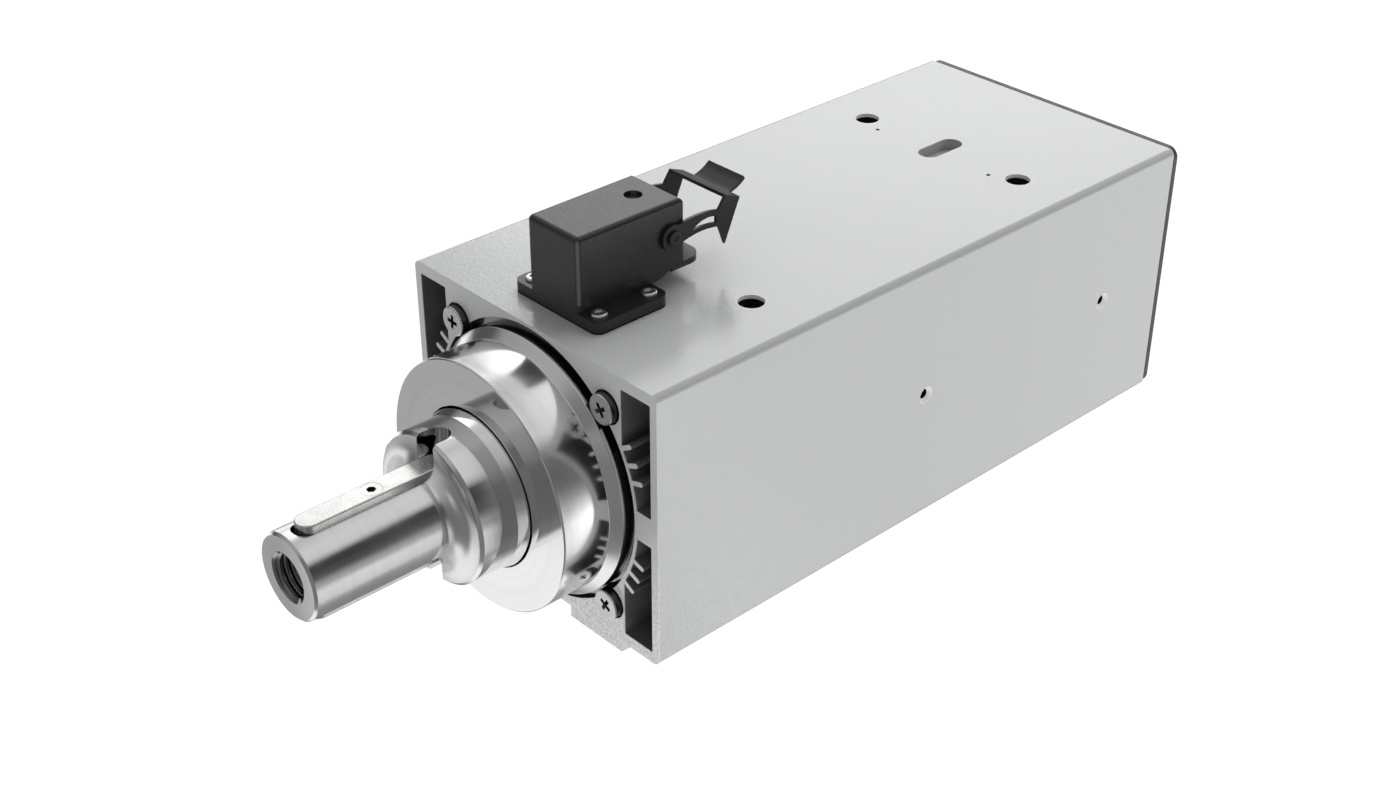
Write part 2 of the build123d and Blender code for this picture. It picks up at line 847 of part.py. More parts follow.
# Stator core with open slots, and the winding in them
stator_inner_radius = rotor_radius + air_gap
slot_bottom_radius = stator_inner_radius + slot_depth
coil_inner_radius = stator_inner_radius + coil_clearance
coil_outer_radius = stator_bore_radius - coil_wall_gap

with BuildPart() as stator_core:
    with BuildSketch(facing_rear(stack_start)):
        Circle(stator_bore_radius - fit_gap)
        Circle(stator_inner_radius, mode=Mode.SUBTRACT)
        with PolarLocations((rotor_radius + slot_bottom_radius) / 2, slot_count):
            Rectangle(slot_bottom_radius - rotor_radius, slot_width, mode=Mode.SUBTRACT)
    extrude(amount=stack_length)
stator_core.part.label = "stator_core"
export_step(stator_core.part, "parts/stator_core.step")

with BuildPart() as winding:
    front_head_start = stack_start - coil_overhang
    rear_head_start = stack_end + coil_stack_gap
    turned_ring(front_head_start, stack_start - coil_stack_gap, coil_inner_radius, coil_outer_radius)
    turned_ring(rear_head_start, stack_end + coil_overhang, coil_inner_radius, coil_outer_radius)
    coil_ends = winding.edges().filter_by(GeomType.CIRCLE).group_by(Axis.Y)
    fillet(coil_ends[0] + coil_ends[-1], radius=coil_rounding)
    coil_side_inner = coil_inner_radius + coil_side_step
    coil_side_outer = slot_bottom_radius - slot_liner
    with BuildSketch(facing_rear(stack_start - 2 * coil_stack_gap)):
        with PolarLocations((coil_side_inner + coil_side_outer) / 2, slot_count):
            Rectangle(coil_side_outer - coil_side_inner, slot_width - 2 * slot_liner)
    extrude(amount=stack_length + 4 * coil_stack_gap)
winding.part.label = "winding"
export_step(winding.part, "parts/winding.step")

# Rotor core and its end rings
with BuildPart() as rotor_core:
    turned_ring(stack_start, stack_end, rotor_seat_radius + fit_gap, rotor_radius)
rotor_core.part.label = "rotor_core"
export_step(rotor_core.part, "parts/rotor_core.step")

with BuildPart() as rotor_end_rings:
    for ring_start in (stack_start - end_ring_length, stack_end + fit_gap):
        turned_ring(
            ring_start,
            ring_start + end_ring_length - fit_gap,
            rotor_seat_radius + end_ring_step,
            rotor_radius - end_ring_step,
        )
rotor_end_rings.part.label = "rotor_end_rings"
export_step(rotor_end_rings.part, "parts/rotor_end_rings.step")

# Rear bearing shield with ears, and its screws
shield_radius = chamber_radius - shield_fit
rear_bearing_bore = rear_bearing_radius + fit_gap

with BuildPart() as rear_bearing_shield:
    turned(
        (shield_front, rear_bearing_bore),
        (shield_front, spigot_radius),
        (chamber_start, spigot_radius),
        (chamber_start, shield_radius),
        (shield_end, shield_radius),
        (shield_end, shield_lip_radius),
        (chamber_start + spring_space, shield_lip_radius),
        (chamber_start + spring_space, rear_bearing_bore),
    )
    with BuildSketch(facing_rear(chamber_start)):
        with GridLocations(shield_spot, shield_spot, 2, 2):
            Circle(shield_ear_radius)
    extrude(amount=shield_plate_thickness)
    bore_four(
        facing_rear(shield_end),
        shield_spot,
        shield_spot,
        shield_screw_radius + screw_hole_play,
        shield_plate_thickness,
    )
rear_bearing_shield.part.label = "rear_bearing_shield"
export_step(rear_bearing_shield.part, "parts/rear_bearing_shield.step")

with BuildPart() as rear_shield_screws:
    socket_screws(
        facing_rear(shield_end),
        shield_spot,
        shield_spot,
        shield_screw_radius,
        shield_screw_length,
        shield_screw_head_radius,
        shield_screw_head_height,
    )
rear_shield_screws.part.label = "rear_shield_screws"
export_step(rear_shield_screws.part, "parts/rear_shield_screws.step")

# Rear bearing, and the conical spring that preloads its outer ring
rear_pitch = (rear_bearing_radius + rear_seat_radius) / 2
rear_shoulder = ring_shoulder_share * rear_ball_radius
rear_ball_row = rear_bearing_start + rear_bearing_width / 2

with BuildPart() as rear_bearing_outer_ring:
    bearing_ring(
        rear_bearing_start,
        rear_bearing_width,
        rear_pitch + rear_shoulder,
        rear_bearing_radius,
        rear_pitch,
        rear_ball_radius,
    )
rear_bearing_outer_ring.part.label = "rear_bearing_outer_ring"
export_step(rear_bearing_outer_ring.part, "parts/rear_bearing_outer_ring.step")

with BuildPart() as rear_bearing_inner_ring:
    bearing_ring(
        rear_bearing_start,
        rear_bearing_width,
        rear_seat_radius + fit_gap,
        rear_pitch - rear_shoulder,
        rear_pitch,
        rear_ball_radius,
    )
rear_bearing_inner_ring.part.label = "rear_bearing_inner_ring"
export_step(rear_bearing_inner_ring.part, "parts/rear_bearing_inner_ring.step")

with BuildPart() as rear_balls:
    balls(rear_ball_row, rear_pitch, rear_ball_radius, rear_ball_count)
rear_balls.part.label = "rear_balls"
export_step(rear_balls.part, "parts/rear_balls.step")

with BuildPart() as rear_ball_cage:
    ball_cage(rear_ball_row, rear_pitch, rear_ball_radius, rear_ball_count)
rear_ball_cage.part.label = "rear_ball_cage"
export_step(rear_ball_cage.part, "parts/rear_ball_cage.step")

with BuildPart() as preload_spring:
    turned(
        (chamber_start, rear_bearing_radius),
        (chamber_start + spring_thickness, rear_bearing_radius),
        (chamber_start + spring_space, spring_inner_radius),
        (chamber_start + spring_space - spring_thickness, spring_inner_radius),
    )
preload_spring.part.label = "preload_spring"
export_step(preload_spring.part, "parts/preload_spring.step")

# Cooling fan: hub, disc and leaning blades that face the rear grille
fan_radius = chamber_radius - fan_tip_gap
disc_start = fan_start + fan_disc_setback
blade_start = disc_start + fan_disc_thickness

with BuildPart() as cooling_fan:
    with BuildSketch(facing_rear(fan_start)):
        Circle(fan_hub_radius)
    extrude(amount=fan_length)
    with BuildSketch(facing_rear(disc_start)):
        Circle(fan_radius)
    extrude(amount=fan_disc_thickness)
    with BuildSketch(facing_rear(blade_start)):
        with PolarLocations((fan_hub_radius + fan_radius) / 2, fan_blade_count):
            Rectangle(fan_radius - fan_hub_radius, fan_blade_thickness, rotation=fan_blade_lean)
    extrude(amount=fan_blade_width)
    with BuildSketch(facing_rear(fan_start)):
        Circle(fan_seat_radius + fit_gap)
    extrude(amount=fan_length, mode=Mode.SUBTRACT)
cooling_fan.part.label = "cooling_fan"
export_step(cooling_fan.part, "parts/cooling_fan.step")

# Circlips behind the rear inner ring and behind the fan
with BuildPart() as shaft_circlips:
    for clip_face, seat_radius in ((clip_start, rear_seat_radius), (fan_end, fan_seat_radius)):
        turned_ring(
            clip_face + fit_gap,
            clip_face + circlip_width - fit_gap,
            seat_radius - circlip_groove_depth + fit_gap,
            seat_radius + circlip_reach,
        )
shaft_circlips.part.label = "shaft_circlips"
export_step(shaft_circlips.part, "parts/shaft_circlips.step")

# Rear gasket and grilled cover
grille_radius = chamber_radius - grille_inset

with BuildPart() as rear_gasket:
    with BuildSketch(facing_rear(housing_length)):
        RectangleRounded(housing_width, housing_height, cover_corner_radius)
        Circle(chamber_radius, mode=Mode.SUBTRACT)
        Rectangle(2 * duct_outer, window_height, mode=Mode.SUBTRACT)
        with GridLocations(2 * cover_screw_offset_x, 2 * cover_screw_offset_z, 2, 2):
            Circle(cover_screw_radius + screw_hole_play, mode=Mode.SUBTRACT)
    extrude(amount=gasket_thickness)
rear_gasket.part.label = "rear_gasket"
export_step(rear_gasket.part, "parts/rear_gasket.step")

with BuildPart() as rear_cover:
    with BuildSketch(facing_rear(cover_seat)):
        RectangleRounded(housing_width, housing_height, cover_corner_radius)
        for slot in range(grille_slot_count):
            slot_rise = (slot - (grille_slot_count - 1) / 2) * grille_pitch
            with Locations((0, slot_rise)):
                SlotOverall(
                    2 * sqrt(grille_radius**2 - slot_rise**2),
                    grille_slot_width,
                    mode=Mode.SUBTRACT,
                )
        with GridLocations(2 * cover_screw_offset_x, 2 * cover_screw_offset_z, 2, 2):
            Circle(cover_screw_radius + screw_hole_play, mode=Mode.SUBTRACT)
    extrude(amount=cover_thickness)
rear_cover.part.label = "rear_cover"
export_step(rear_cover.part, "parts/rear_cover.step")

with BuildPart() as rear_cover_screws:
    socket_screws(
        facing_rear(cover_seat + cover_thickness),
        2 * cover_screw_offset_x,
        2 * cover_screw_offset_z,
        cover_screw_radius,
        cover_screw_length,
        cover_screw_head_radius,
        cover_screw_head_height,
    )
rear_cover_screws.part.label = "rear_cover_screws"
export_step(rear_cover_screws.part, "parts/rear_cover_screws.step")

# Connector housing: angled body over a screwed base, with a rear mouth, a lip below it and a cable shaft
connector_rear = connector_setback + connector_length
base_rear = connector_setback + base_length
base_top = connector_gasket_thickness + base_thickness
pivot_depth = connector_rear - lever_pivot_inset
mouth_width = connector_width - 2 * connector_wall
mouth_height = connector_height - connector_wall - mouth_sill
mouth_level = mouth_sill + mouth_height / 2


def across_connector(depth, facing=1):
    """A plane across the connector's mouth at a depth, centred on the mouth."""
    return Plane(
        origin=(0, front_y + depth, roof_z + mouth_level),
        x_dir=(-facing, 0, 0),
        z_dir=(0, facing, 0),
    )


def beside_pivot(x, side=1):
    """A plane along the motor at one X, centred on the lever's pivot."""
    return Plane(
        origin=(x, front_y + pivot_depth, roof_z + lever_pivot_height),
        x_dir=(0, 1, 0),
        z_dir=(side, 0, 0),
    )


with BuildPart() as connector_gasket:
    with BuildSketch(on_roof(connector_middle)):
        RectangleRounded(base_width, base_length, base_corner_radius)
        Circle(cable_hole_radius, mode=Mode.SUBTRACT)
        with GridLocations(connector_screw_spacing_x, connector_screw_spacing_y, 2, 2):
            Circle(connector_screw_radius + screw_hole_play, mode=Mode.SUBTRACT)
    extrude(amount=connector_gasket_thickness)
connector_gasket.part.label = "connector_gasket"
export_step(connector_gasket.part, "parts/connector_gasket.step")

with BuildPart() as connector_housing:
    with BuildSketch(lengthwise(-connector_width / 2, roof_z)):
        with BuildLine():
            underside_end = (base_rear + underside_length, base_top + underside_rise)
            TangentArc((base_rear, base_top), underside_end, tangent=(1, 0))
            Polyline(
                underside_end,
                (connector_rear, base_top + underside_rise + underside_slope),
                (connector_rear, connector_height),
                (connector_setback, connector_height),
                (connector_setback, connector_gasket_thickness),
                (base_rear, connector_gasket_thickness),
                (base_rear, base_top),
            )
        make_face()
    extrude(amount=connector_width)
    top_rim = connector_housing.faces().sort_by(Axis.Z)[-1].edges()
    front_corners = connector_housing.edges().filter_by(Axis.Z).group_by(Axis.Y)[0]
    fillet(top_rim + front_corners, radius=connector_rounding)
    with BuildSketch(on_roof(connector_middle, connector_gasket_thickness)):
        RectangleRounded(base_width, base_length, base_corner_radius)
    extrude(amount=base_thickness)
    with BuildSketch(on_roof(connector_rear, lip_plate_rise)):
        lip_length = lip_overlap + lip_reach
        with Locations((0, (lip_reach - lip_overlap) / 2)):
            lip_plate = Rectangle(connector_width, lip_length)
        fillet(lip_plate.vertices().group_by(Axis.Y)[-1], radius=lip_corner_radius)
    extrude(amount=lip_plate_thickness)
    with BuildSketch(across_connector(connector_rear)):
        RectangleRounded(mouth_width, mouth_height, mouth_corner_radius)
    extrude(amount=-mouth_depth, mode=Mode.SUBTRACT)
    with BuildSketch(on_roof(connector_middle, connector_gasket_thickness)):
        Circle(cable_hole_radius)
    extrude(amount=cable_shaft_height, mode=Mode.SUBTRACT)
    with BuildSketch(on_roof(connector_rear - dimple_setback, connector_height)):
        Circle(dimple_radius)
    extrude(amount=-dimple_depth, mode=Mode.SUBTRACT)
    with BuildSketch(beside_pivot(0)):
        Circle(lever_pin_radius + fit_gap)
    extrude(amount=connector_width, both=True, mode=Mode.SUBTRACT)
    bore_four(
        on_roof(connector_middle, base_top),
        connector_screw_spacing_x,
        connector_screw_spacing_y,
        connector_screw_radius + screw_hole_play,
        base_thickness,
    )
connector_housing.part.label = "connector_housing"
export_step(connector_housing.part, "parts/connector_housing.step")

with BuildPart() as connector_screws:
    socket_screws(
        on_roof(connector_middle, base_top),
        connector_screw_spacing_x,
        connector_screw_spacing_y,
        connector_screw_radius,
        connector_screw_length,
        connector_screw_head_radius,
        connector_screw_head_height,
    )
connector_screws.part.label = "connector_screws"
export_step(connector_screws.part, "parts/connector_screws.step")

# Contact insert and pins inside the mouth
insert_face = connector_rear - insert_setback
pin_length = pin_tail + insert_length + pin_reach
pin_tail_end = insert_face - insert_length - pin_tail

with BuildPart() as contact_insert:
    with BuildSketch(across_connector(insert_face - insert_length)):
        RectangleRounded(
            mouth_width - 2 * insert_fit,
            mouth_height - 2 * insert_fit,
            mouth_corner_radius,
        )
        with GridLocations(pin_pitch_x, pin_pitch_z, pin_count_x, pin_count_z):
            Circle(pin_radius + fit_gap, mode=Mode.SUBTRACT)
    extrude(amount=insert_length)
contact_insert.part.label = "contact_insert"
export_step(contact_insert.part, "parts/contact_insert.step")

with BuildPart() as contact_pins:
    with BuildSketch(across_connector(pin_tail_end)):
        with GridLocations(pin_pitch_x, pin_pitch_z, pin_count_x, pin_count_z):
            Circle(pin_radius)
    extrude(amount=pin_length)
contact_pins.part.label = "contact_pins"
export_step(contact_pins.part, "parts/contact_pins.step")

# Motor leads: one sleeve from the front coil head up through the roof to the back of the contacts
with BuildPart() as motor_leads:
    with BuildLine(lengthwise()):
        lead_route = FilletPolyline(
            (stack_start - coil_overhang, lead_circle),
            (connector_middle, lead_circle),
            (connector_middle, housing_height / 2 + mouth_level),
            (pin_tail_end - fit_gap, housing_height / 2 + mouth_level),
            radius=lead_bend,
        )
    with BuildSketch(Plane(origin=lead_route @ 0, z_dir=lead_route % 0)):
        Circle(lead_radius)
    sweep()
motor_leads.part.label = "motor_leads"
export_step(motor_leads.part, "parts/motor_leads.step")

# Locking lever: two side plates with an eye, a slot and a hook, joined by a bar with a thumb tab
plate_start = connector_width / 2 + lever_side_gap
plate_end = plate_start + lever_thickness
bar_front = Vector(lever_bar_front, lever_bar_front_height)
bar_rear = Vector(lever_bar_rear, lever_bar_rear_height)
bar_drop = (bar_rear - bar_front).normalized().rotate(Axis.Z, -90) * lever_thickness
tab_tip = bar_rear + Vector(lever_tab_length, lever_tab_rise)
tab_drop = (tab_tip - bar_rear).normalized().rotate(Axis.Z, -90) * lever_thickness
tab_bow = (bar_rear + tab_tip) / 2 - Vector(0, lever_tab_sag)
eye_top = Vector(lever_eye_radius, 0).rotate(Axis.Z, 56)
eye_bottom = Vector(lever_eye_radius, 0).rotate(Axis.Z, -39)
slot_start = (lever_slot_start, 0)
slot_end_top = (lever_arm_length - lever_thickness, lever_slot_height)
slot_end_bottom = (lever_arm_length - lever_thickness, -lever_slot_height / 2)

with BuildPart() as locking_lever:
    with BuildSketch(beside_pivot(plate_start)):
        with BuildLine():
            arm_end = (lever_arm_length, lever_arm_end_crown)
            arm_underside = (lever_arm_length, lever_arm_end_belly)
            ThreePointArc(eye_top, (lever_arm_middle, lever_arm_crown), arm_end)
            Polyline(arm_end, bar_front, bar_rear, (lever_hook_reach, -lever_hook_drop), arm_underside)
            ThreePointArc(arm_underside, (lever_arm_middle, lever_arm_belly), eye_bottom)
            Line(eye_bottom, eye_top)
        make_face()
        Circle(lever_eye_radius)
        Circle(lever_pin_radius + lever_pin_fit, mode=Mode.SUBTRACT)
        with BuildLine():
            ThreePointArc(slot_start, (lever_arm_middle, lever_slot_crown), slot_end_top)
            Line(slot_end_top, slot_end_bottom)
            ThreePointArc(slot_end_bottom, (lever_arm_middle, 0), slot_start)
        make_face(mode=Mode.SUBTRACT)
    extrude(amount=lever_thickness)
    with BuildSketch(beside_pivot(0)):
        with BuildLine():
            Polyline(bar_front, bar_rear, bar_rear + bar_drop, bar_front + bar_drop, close=True)
        make_face()
    extrude(amount=plate_end)
    with BuildSketch(beside_pivot(0)):
        with BuildLine():
            ThreePointArc(bar_rear, tab_bow, tab_tip)
            Line(tab_tip, tab_tip + tab_drop)
            ThreePointArc(tab_tip + tab_drop, tab_bow + tab_drop, bar_rear + bar_drop)
            Line(bar_rear + bar_drop, bar_rear)
        make_face()
    extrude(amount=lever_tab_width / 2)
    mirror(about=Plane.YZ)
locking_lever.part.label = "locking_lever"
export_step(locking_lever.part, "parts/locking_lever.step")

# Headed pins that carry the lever on the connector housing
pin_start = mouth_width / 2 + fit_gap
pin_head_start = plate_end + lever_pin_head_gap

with BuildPart() as lever_pins:
    for side in (1, -1):
        with BuildSketch(beside_pivot(side * pin_start, side)):
            Circle(lever_pin_radius)
        extrude(amount=pin_head_start - pin_start)
        with BuildSketch(beside_pivot(side * pin_head_start, side)):
            Circle(lever_pin_head_radius)
        extrude(amount=lever_pin_head_height)
lever_pins.part.label = "lever_pins"
export_step(lever_pins.part, "parts/lever_pins.step")
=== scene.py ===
"""The looks of a square spindle motor on foot rails: its finishes, softened edges, screws and studio."""

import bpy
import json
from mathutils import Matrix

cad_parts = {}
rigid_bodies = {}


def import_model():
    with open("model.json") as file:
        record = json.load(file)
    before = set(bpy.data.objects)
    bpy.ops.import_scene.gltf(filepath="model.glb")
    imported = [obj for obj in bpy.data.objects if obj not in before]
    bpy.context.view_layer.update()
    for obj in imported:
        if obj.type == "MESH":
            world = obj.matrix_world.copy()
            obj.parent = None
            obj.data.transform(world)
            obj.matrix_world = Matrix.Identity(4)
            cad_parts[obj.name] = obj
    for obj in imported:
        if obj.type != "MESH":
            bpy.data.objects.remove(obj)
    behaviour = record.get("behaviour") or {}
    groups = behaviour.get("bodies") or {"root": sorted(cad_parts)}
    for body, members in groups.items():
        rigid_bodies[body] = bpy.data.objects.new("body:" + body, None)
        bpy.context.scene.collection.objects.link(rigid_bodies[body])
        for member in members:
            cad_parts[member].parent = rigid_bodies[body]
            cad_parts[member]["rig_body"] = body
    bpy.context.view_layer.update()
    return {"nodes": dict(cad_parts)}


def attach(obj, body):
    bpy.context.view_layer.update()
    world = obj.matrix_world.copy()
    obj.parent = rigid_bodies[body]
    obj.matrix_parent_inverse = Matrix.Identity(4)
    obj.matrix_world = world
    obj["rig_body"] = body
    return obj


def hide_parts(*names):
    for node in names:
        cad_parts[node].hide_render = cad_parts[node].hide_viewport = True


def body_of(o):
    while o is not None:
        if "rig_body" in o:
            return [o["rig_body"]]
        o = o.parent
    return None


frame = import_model()

import json
import logging
import math
from dataclasses import dataclass
from enum import Enum
from functools import lru_cache
from typing import Callable

import bpy
from mathutils import Matrix, Vector

LOG = logging.getLogger("spindle_motor")

# The shaft axis over the rails in metres, the smallest sharp angle in degrees, and the least gap in metres
AXIS_HEIGHT = 0.0652
CREASE = 34.0
HAIR = 1e-6

# The values between which a noise mostly stays
NOISE_SPAN = (0.3, 0.7)

Socket = bpy.types.NodeSocket
Triple = tuple[float, float, float]
Zone = tuple[float, float]
Marks = tuple[tuple[float, float], ...]
Seat = tuple[Vector, Vector]


def shaded(colour: Triple, share: float) -> Triple:
    """Darkens or lightens a colour by a share."""
    return tuple(part * share for part in colour)


class Recipe:
    """A material while it is put together: its node tree, its shader and the object coordinates it reads."""

    def __init__(self, name: str) -> None:
        """Starts a material.

        Args:
            name: The material's name.
        """
        self.material = bpy.data.materials.new(name)
        self.material.use_nodes = True
        self.tree = self.material.node_tree
        self.shader = self.tree.nodes["Principled BSDF"]
        self.place = self.add("ShaderNodeTexCoord").outputs["Object"]

    def add(self, kind: str, **settings: object) -> bpy.types.Node:
        """Adds a node and sets its options.

        Args:
            kind: The node's Blender type.
            settings: Options by name.

        Returns:
            The new node.
        """
        node = self.tree.nodes.new(kind)
        for name, value in settings.items():
            setattr(node, name, value)
        return node

    def put(self, target: Socket, value: object) -> None:
        """Links a socket to a socket, or sets a plain value on it.

        Args:
            target: The input socket.
            value: An output socket, a number or a colour.
        """
        if isinstance(value, bpy.types.NodeSocket):
            self.tree.links.new(value, target)
        else:
            target.default_value = (*value, 1.0) if target.type == "RGBA" else value

    def sum(self, operation: str, first: object, second: object = 0.0) -> Socket:
        """Adds a Math node.

        Args:
            operation: The node's operation, such as MULTIPLY.
            first: First input.
            second: Second input.

        Returns:
            The result.
        """
        node = self.add("ShaderNodeMath", operation=operation)
        self.put(node.inputs[0], first)
        self.put(node.inputs[1], second)
        return node.outputs[0]

    def all_of(self, *masks: Socket) -> Socket:
        """Multiplies masks.

        Args:
            masks: The masks.

        Returns:
            A mask of where all of them are 1.
        """
        made = masks[0]
        for mask in masks[1:]:
            made = self.sum("MULTIPLY", made, mask)
        return made

    def within(self, value: Socket, middle: float, reach: float) -> Socket:
        """Gives 1 where a value is closer to a middle than a reach, and 0 elsewhere.

        Args:
            value: The input.
            middle: The middle.
            reach: The largest distance from it.

        Returns:
            The mask.
        """
        node = self.add("ShaderNodeMath", operation="COMPARE")
        for socket, part in zip(node.inputs, (value, middle, reach)):
            self.put(socket, part)
        return node.outputs[0]

    def length(self, first: Socket, second: Socket) -> Socket:
        """Gives the length of a step of two parts, square to each other."""
        squares = (self.sum("MULTIPLY", part, part) for part in (first, second))
        return self.sum("SQRT", self.sum("ADD", *squares))

    def parts(self, place: Socket | None = None) -> tuple[Socket, Socket, Socket]:
        """Gives the three coordinates of a place.

        Args:
            place: Coordinates, or none for the object's own.

        Returns:
            X, Y and Z.
        """
        node = self.add("ShaderNodeSeparateXYZ")
        self.put(node.inputs[0], self.place if place is None else place)
        return tuple(node.outputs)

    def joined(self, *parts: object) -> Socket:
        """Joins coordinates into a vector.

        Args:
            parts: X, Y and Z, or the first of them.

        Returns:
            The vector.
        """
        node = self.add("ShaderNodeCombineXYZ")
        for socket, part in zip(node.inputs, parts):
            self.put(socket, part)
        return node.outputs[0]

    def ramp(self, value: object, start: float, end: float, low: float = 0.0, high: float = 1.0) -> Socket:
        """Maps a range of values to another and clamps it.

        Args:
            value: The input.
            start: Input that gives low.
            end: Input that gives high.
            low: Output at start.
            high: Output at end.

        Returns:
            The mapped value.
        """
        node = self.add("ShaderNodeMapRange")
        for socket, number in zip(node.inputs, (value, start, end, low, high)):
            self.put(socket, number)
        return node.outputs[0]

    def spread(self, noise: Socket, low: float = 0.0, high: float = 1.0) -> Socket:
        """Maps the values that a noise mostly takes to a range."""
        return self.ramp(noise, *NOISE_SPAN, low, high)

    def stops(self, value: Socket, marks: Marks) -> Socket:
        """Maps a value through a row of marks, straight from each to the next.

        Args:
            value: The input.
            marks: Pairs of a value and its result, from 0 to 1.

        Returns:
            The result.
        """
        start, end = marks[0][0], marks[-1][0]
        node = self.add("ShaderNodeValToRGB")
        row = node.color_ramp.elements
        for mark, (_, result) in zip(row, (marks[0], marks[-1])):
            mark.color = (result, result, result, 1.0)
        for place, result in marks[1:-1]:
            row.new((place - start) / (end - start)).color = (result, result, result, 1.0)
        self.put(node.inputs[0], self.ramp(value, start, end))
        return node.outputs[0]

    def tint(self, share: Socket, low: object, high: object) -> Socket:
        """Mixes two colours.

        Args:
            share: Share of the second colour.
            low: First colour, or a socket.
            high: Second colour, or a socket.

        Returns:
            The mixed colour.
        """
        node = self.add("ShaderNodeMix", data_type="RGBA")
        for number, value in ((0, share), (6, low), (7, high)):
            self.put(node.inputs[number], value)
        return node.outputs[2]

    def blend(self, share: Socket, low: object, high: object) -> Socket:
        """Mixes two numbers.

        Args:
            share: Share of the second number.
            low: First number, or a socket.
            high: Second number, or a socket.

        Returns:
            The mixed number.
        """
        node = self.add("ShaderNodeMix", data_type="FLOAT")
        for number, value in ((0, share), (2, low), (3, high)):
            self.put(node.inputs[number], value)
        return node.outputs[0]

    def noise(
        self, size: float, detail: float = 3.0, roughness: float = 0.5, place: Socket | None = None
    ) -> Socket:
        """Adds a noise of a given grain.

        Args:
            size: Width of one grain, in metres.
            detail: Octaves of finer noise.
            roughness: Weight of the finer octaves.
            place: Coordinates, or none for the object's own.

        Returns:
            The noise, about 0.5.
        """
        node = self.add("ShaderNodeTexNoise")
        node.inputs["Scale"].default_value = 1.0 / size
        node.inputs["Detail"].default_value = detail
        node.inputs["Roughness"].default_value = roughness
        self.put(node.inputs["Vector"], self.place if place is None else place)
        return node.outputs["Fac"]

    def stretched(self, scale: Triple) -> Socket:
        """Stretches the object coordinates.

        Args:
            scale: Scale along each axis.

        Returns:
            The new coordinates.
        """
        node = self.add("ShaderNodeMapping")
        node.inputs["Scale"].default_value = scale
        self.put(node.inputs["Vector"], self.place)
        return node.outputs[0]

    def cells(self, size: float) -> Socket:
        """Adds smooth rounded cells.

        Args:
            size: Width of one cell, in metres.

        Returns:
            The distance to the nearest cell's middle.
        """
        node = self.add("ShaderNodeTexVoronoi", feature="SMOOTH_F1")
        node.inputs["Scale"].default_value = 1.0 / size
        self.put(node.inputs["Vector"], self.place)
        return node.outputs["Distance"]

    def raise_by(self, height: Socket, distance: float, below: Socket | None = None) -> Socket:
        """Adds a bump.

        Args:
            height: Height from 0 to 1.
            distance: Metres that a height of 1 stands proud.
            below: The normal of a bump that this one lies on.

        Returns:
            The new normal.
        """
        node = self.add("ShaderNodeBump")
        node.inputs["Distance"].default_value = distance
        self.put(node.inputs["Height"], height)
        if below is not None:
            self.put(node.inputs["Normal"], below)
        return node.outputs[0]

    def off_axis(self) -> tuple[Socket, Socket, Socket]:
        """Measures a place from the shaft axis.

        Returns:
            How far it is beside the axis and above it, and its radius about it.
        """
        across, _, height = self.parts()
        upward = self.sum("SUBTRACT", height, AXIS_HEIGHT)
        return across, upward, self.length(across, upward)

    def turning(self, groove: float) -> Socket:
        """Gives rings about the shaft axis, as a lathe leaves them on round and flat faces alike."""
        return self.noise(groove, 3.0, 0.6, self.joined(self.off_axis()[2], self.parts()[1]))

    def round_the_axis(self) -> Socket:
        """Gives the direction round the shaft axis, along which a lathe's grooves run."""
        across, upward, _ = self.off_axis()
        return self.outward(self.joined(self.sum("MULTIPLY", upward, -1.0), 0.0, across))

    def outward(self, way: Socket) -> Socket:
        """Makes a direction of the piece one of the world, so that it turns with the piece.

        Args:
            way: The direction.

        Returns:
            The direction in the world.
        """
        moved = self.add(
            "ShaderNodeVectorTransform", vector_type="NORMAL", convert_from="OBJECT", convert_to="WORLD"
        )
        self.put(moved.inputs[0], way)
        return moved.outputs[0]

    def hollowed(self, zone: Socket, inner: float, outer: float) -> Socket:
        """Gives the normals of a hollow round that climbs from one radius about the shaft axis to another.

        Args:
            zone: Mask of where the round is.
            inner: Radius at its foot, where it faces away from the axis.
            outer: Radius at its top, where it faces forward.

        Returns:
            The normals, which outside the zone are the mesh's own.
        """
        across, upward, radius = self.off_axis()
        share = self.ramp(radius, inner, outer, 1.0, 0.0)
        forward = self.sum("SQRT", self.sum("SUBTRACT", 1.0, self.sum("MULTIPLY", share, share)))
        sides = (self.sum("DIVIDE", part, radius) for part in (across, upward))
        aside, above = (self.sum("MULTIPLY", share, side) for side in sides)
        facing = self.outward(self.joined(aside, self.sum("MULTIPLY", forward, -1.0), above))
        chosen = self.add("ShaderNodeMix", data_type="VECTOR")
        own = self.add("ShaderNodeNewGeometry").outputs["Normal"]
        for number, value in ((0, zone), (4, own), (5, facing)):
            self.put(chosen.inputs[number], value)
        return chosen.outputs[1]

    def leaning(self, normal: str, axes: tuple[int, int], lean: Zone) -> Socket:
        """Finds rounded edges by how far a face leans from one axis to another.

        Args:
            normal: Which of the mesh's normals to read.
            axes: Numbers of the two axes.
            lean: Product of the normal's two parts that gives 0, and the one that gives 1.

        Returns:
            The mask.
        """
        ways = self.parts(self.add("ShaderNodeNewGeometry").outputs[normal])
        both = self.sum("MULTIPLY", ways[axes[0]], ways[axes[1]])
        return self.ramp(self.sum("ABSOLUTE", both), *lean)

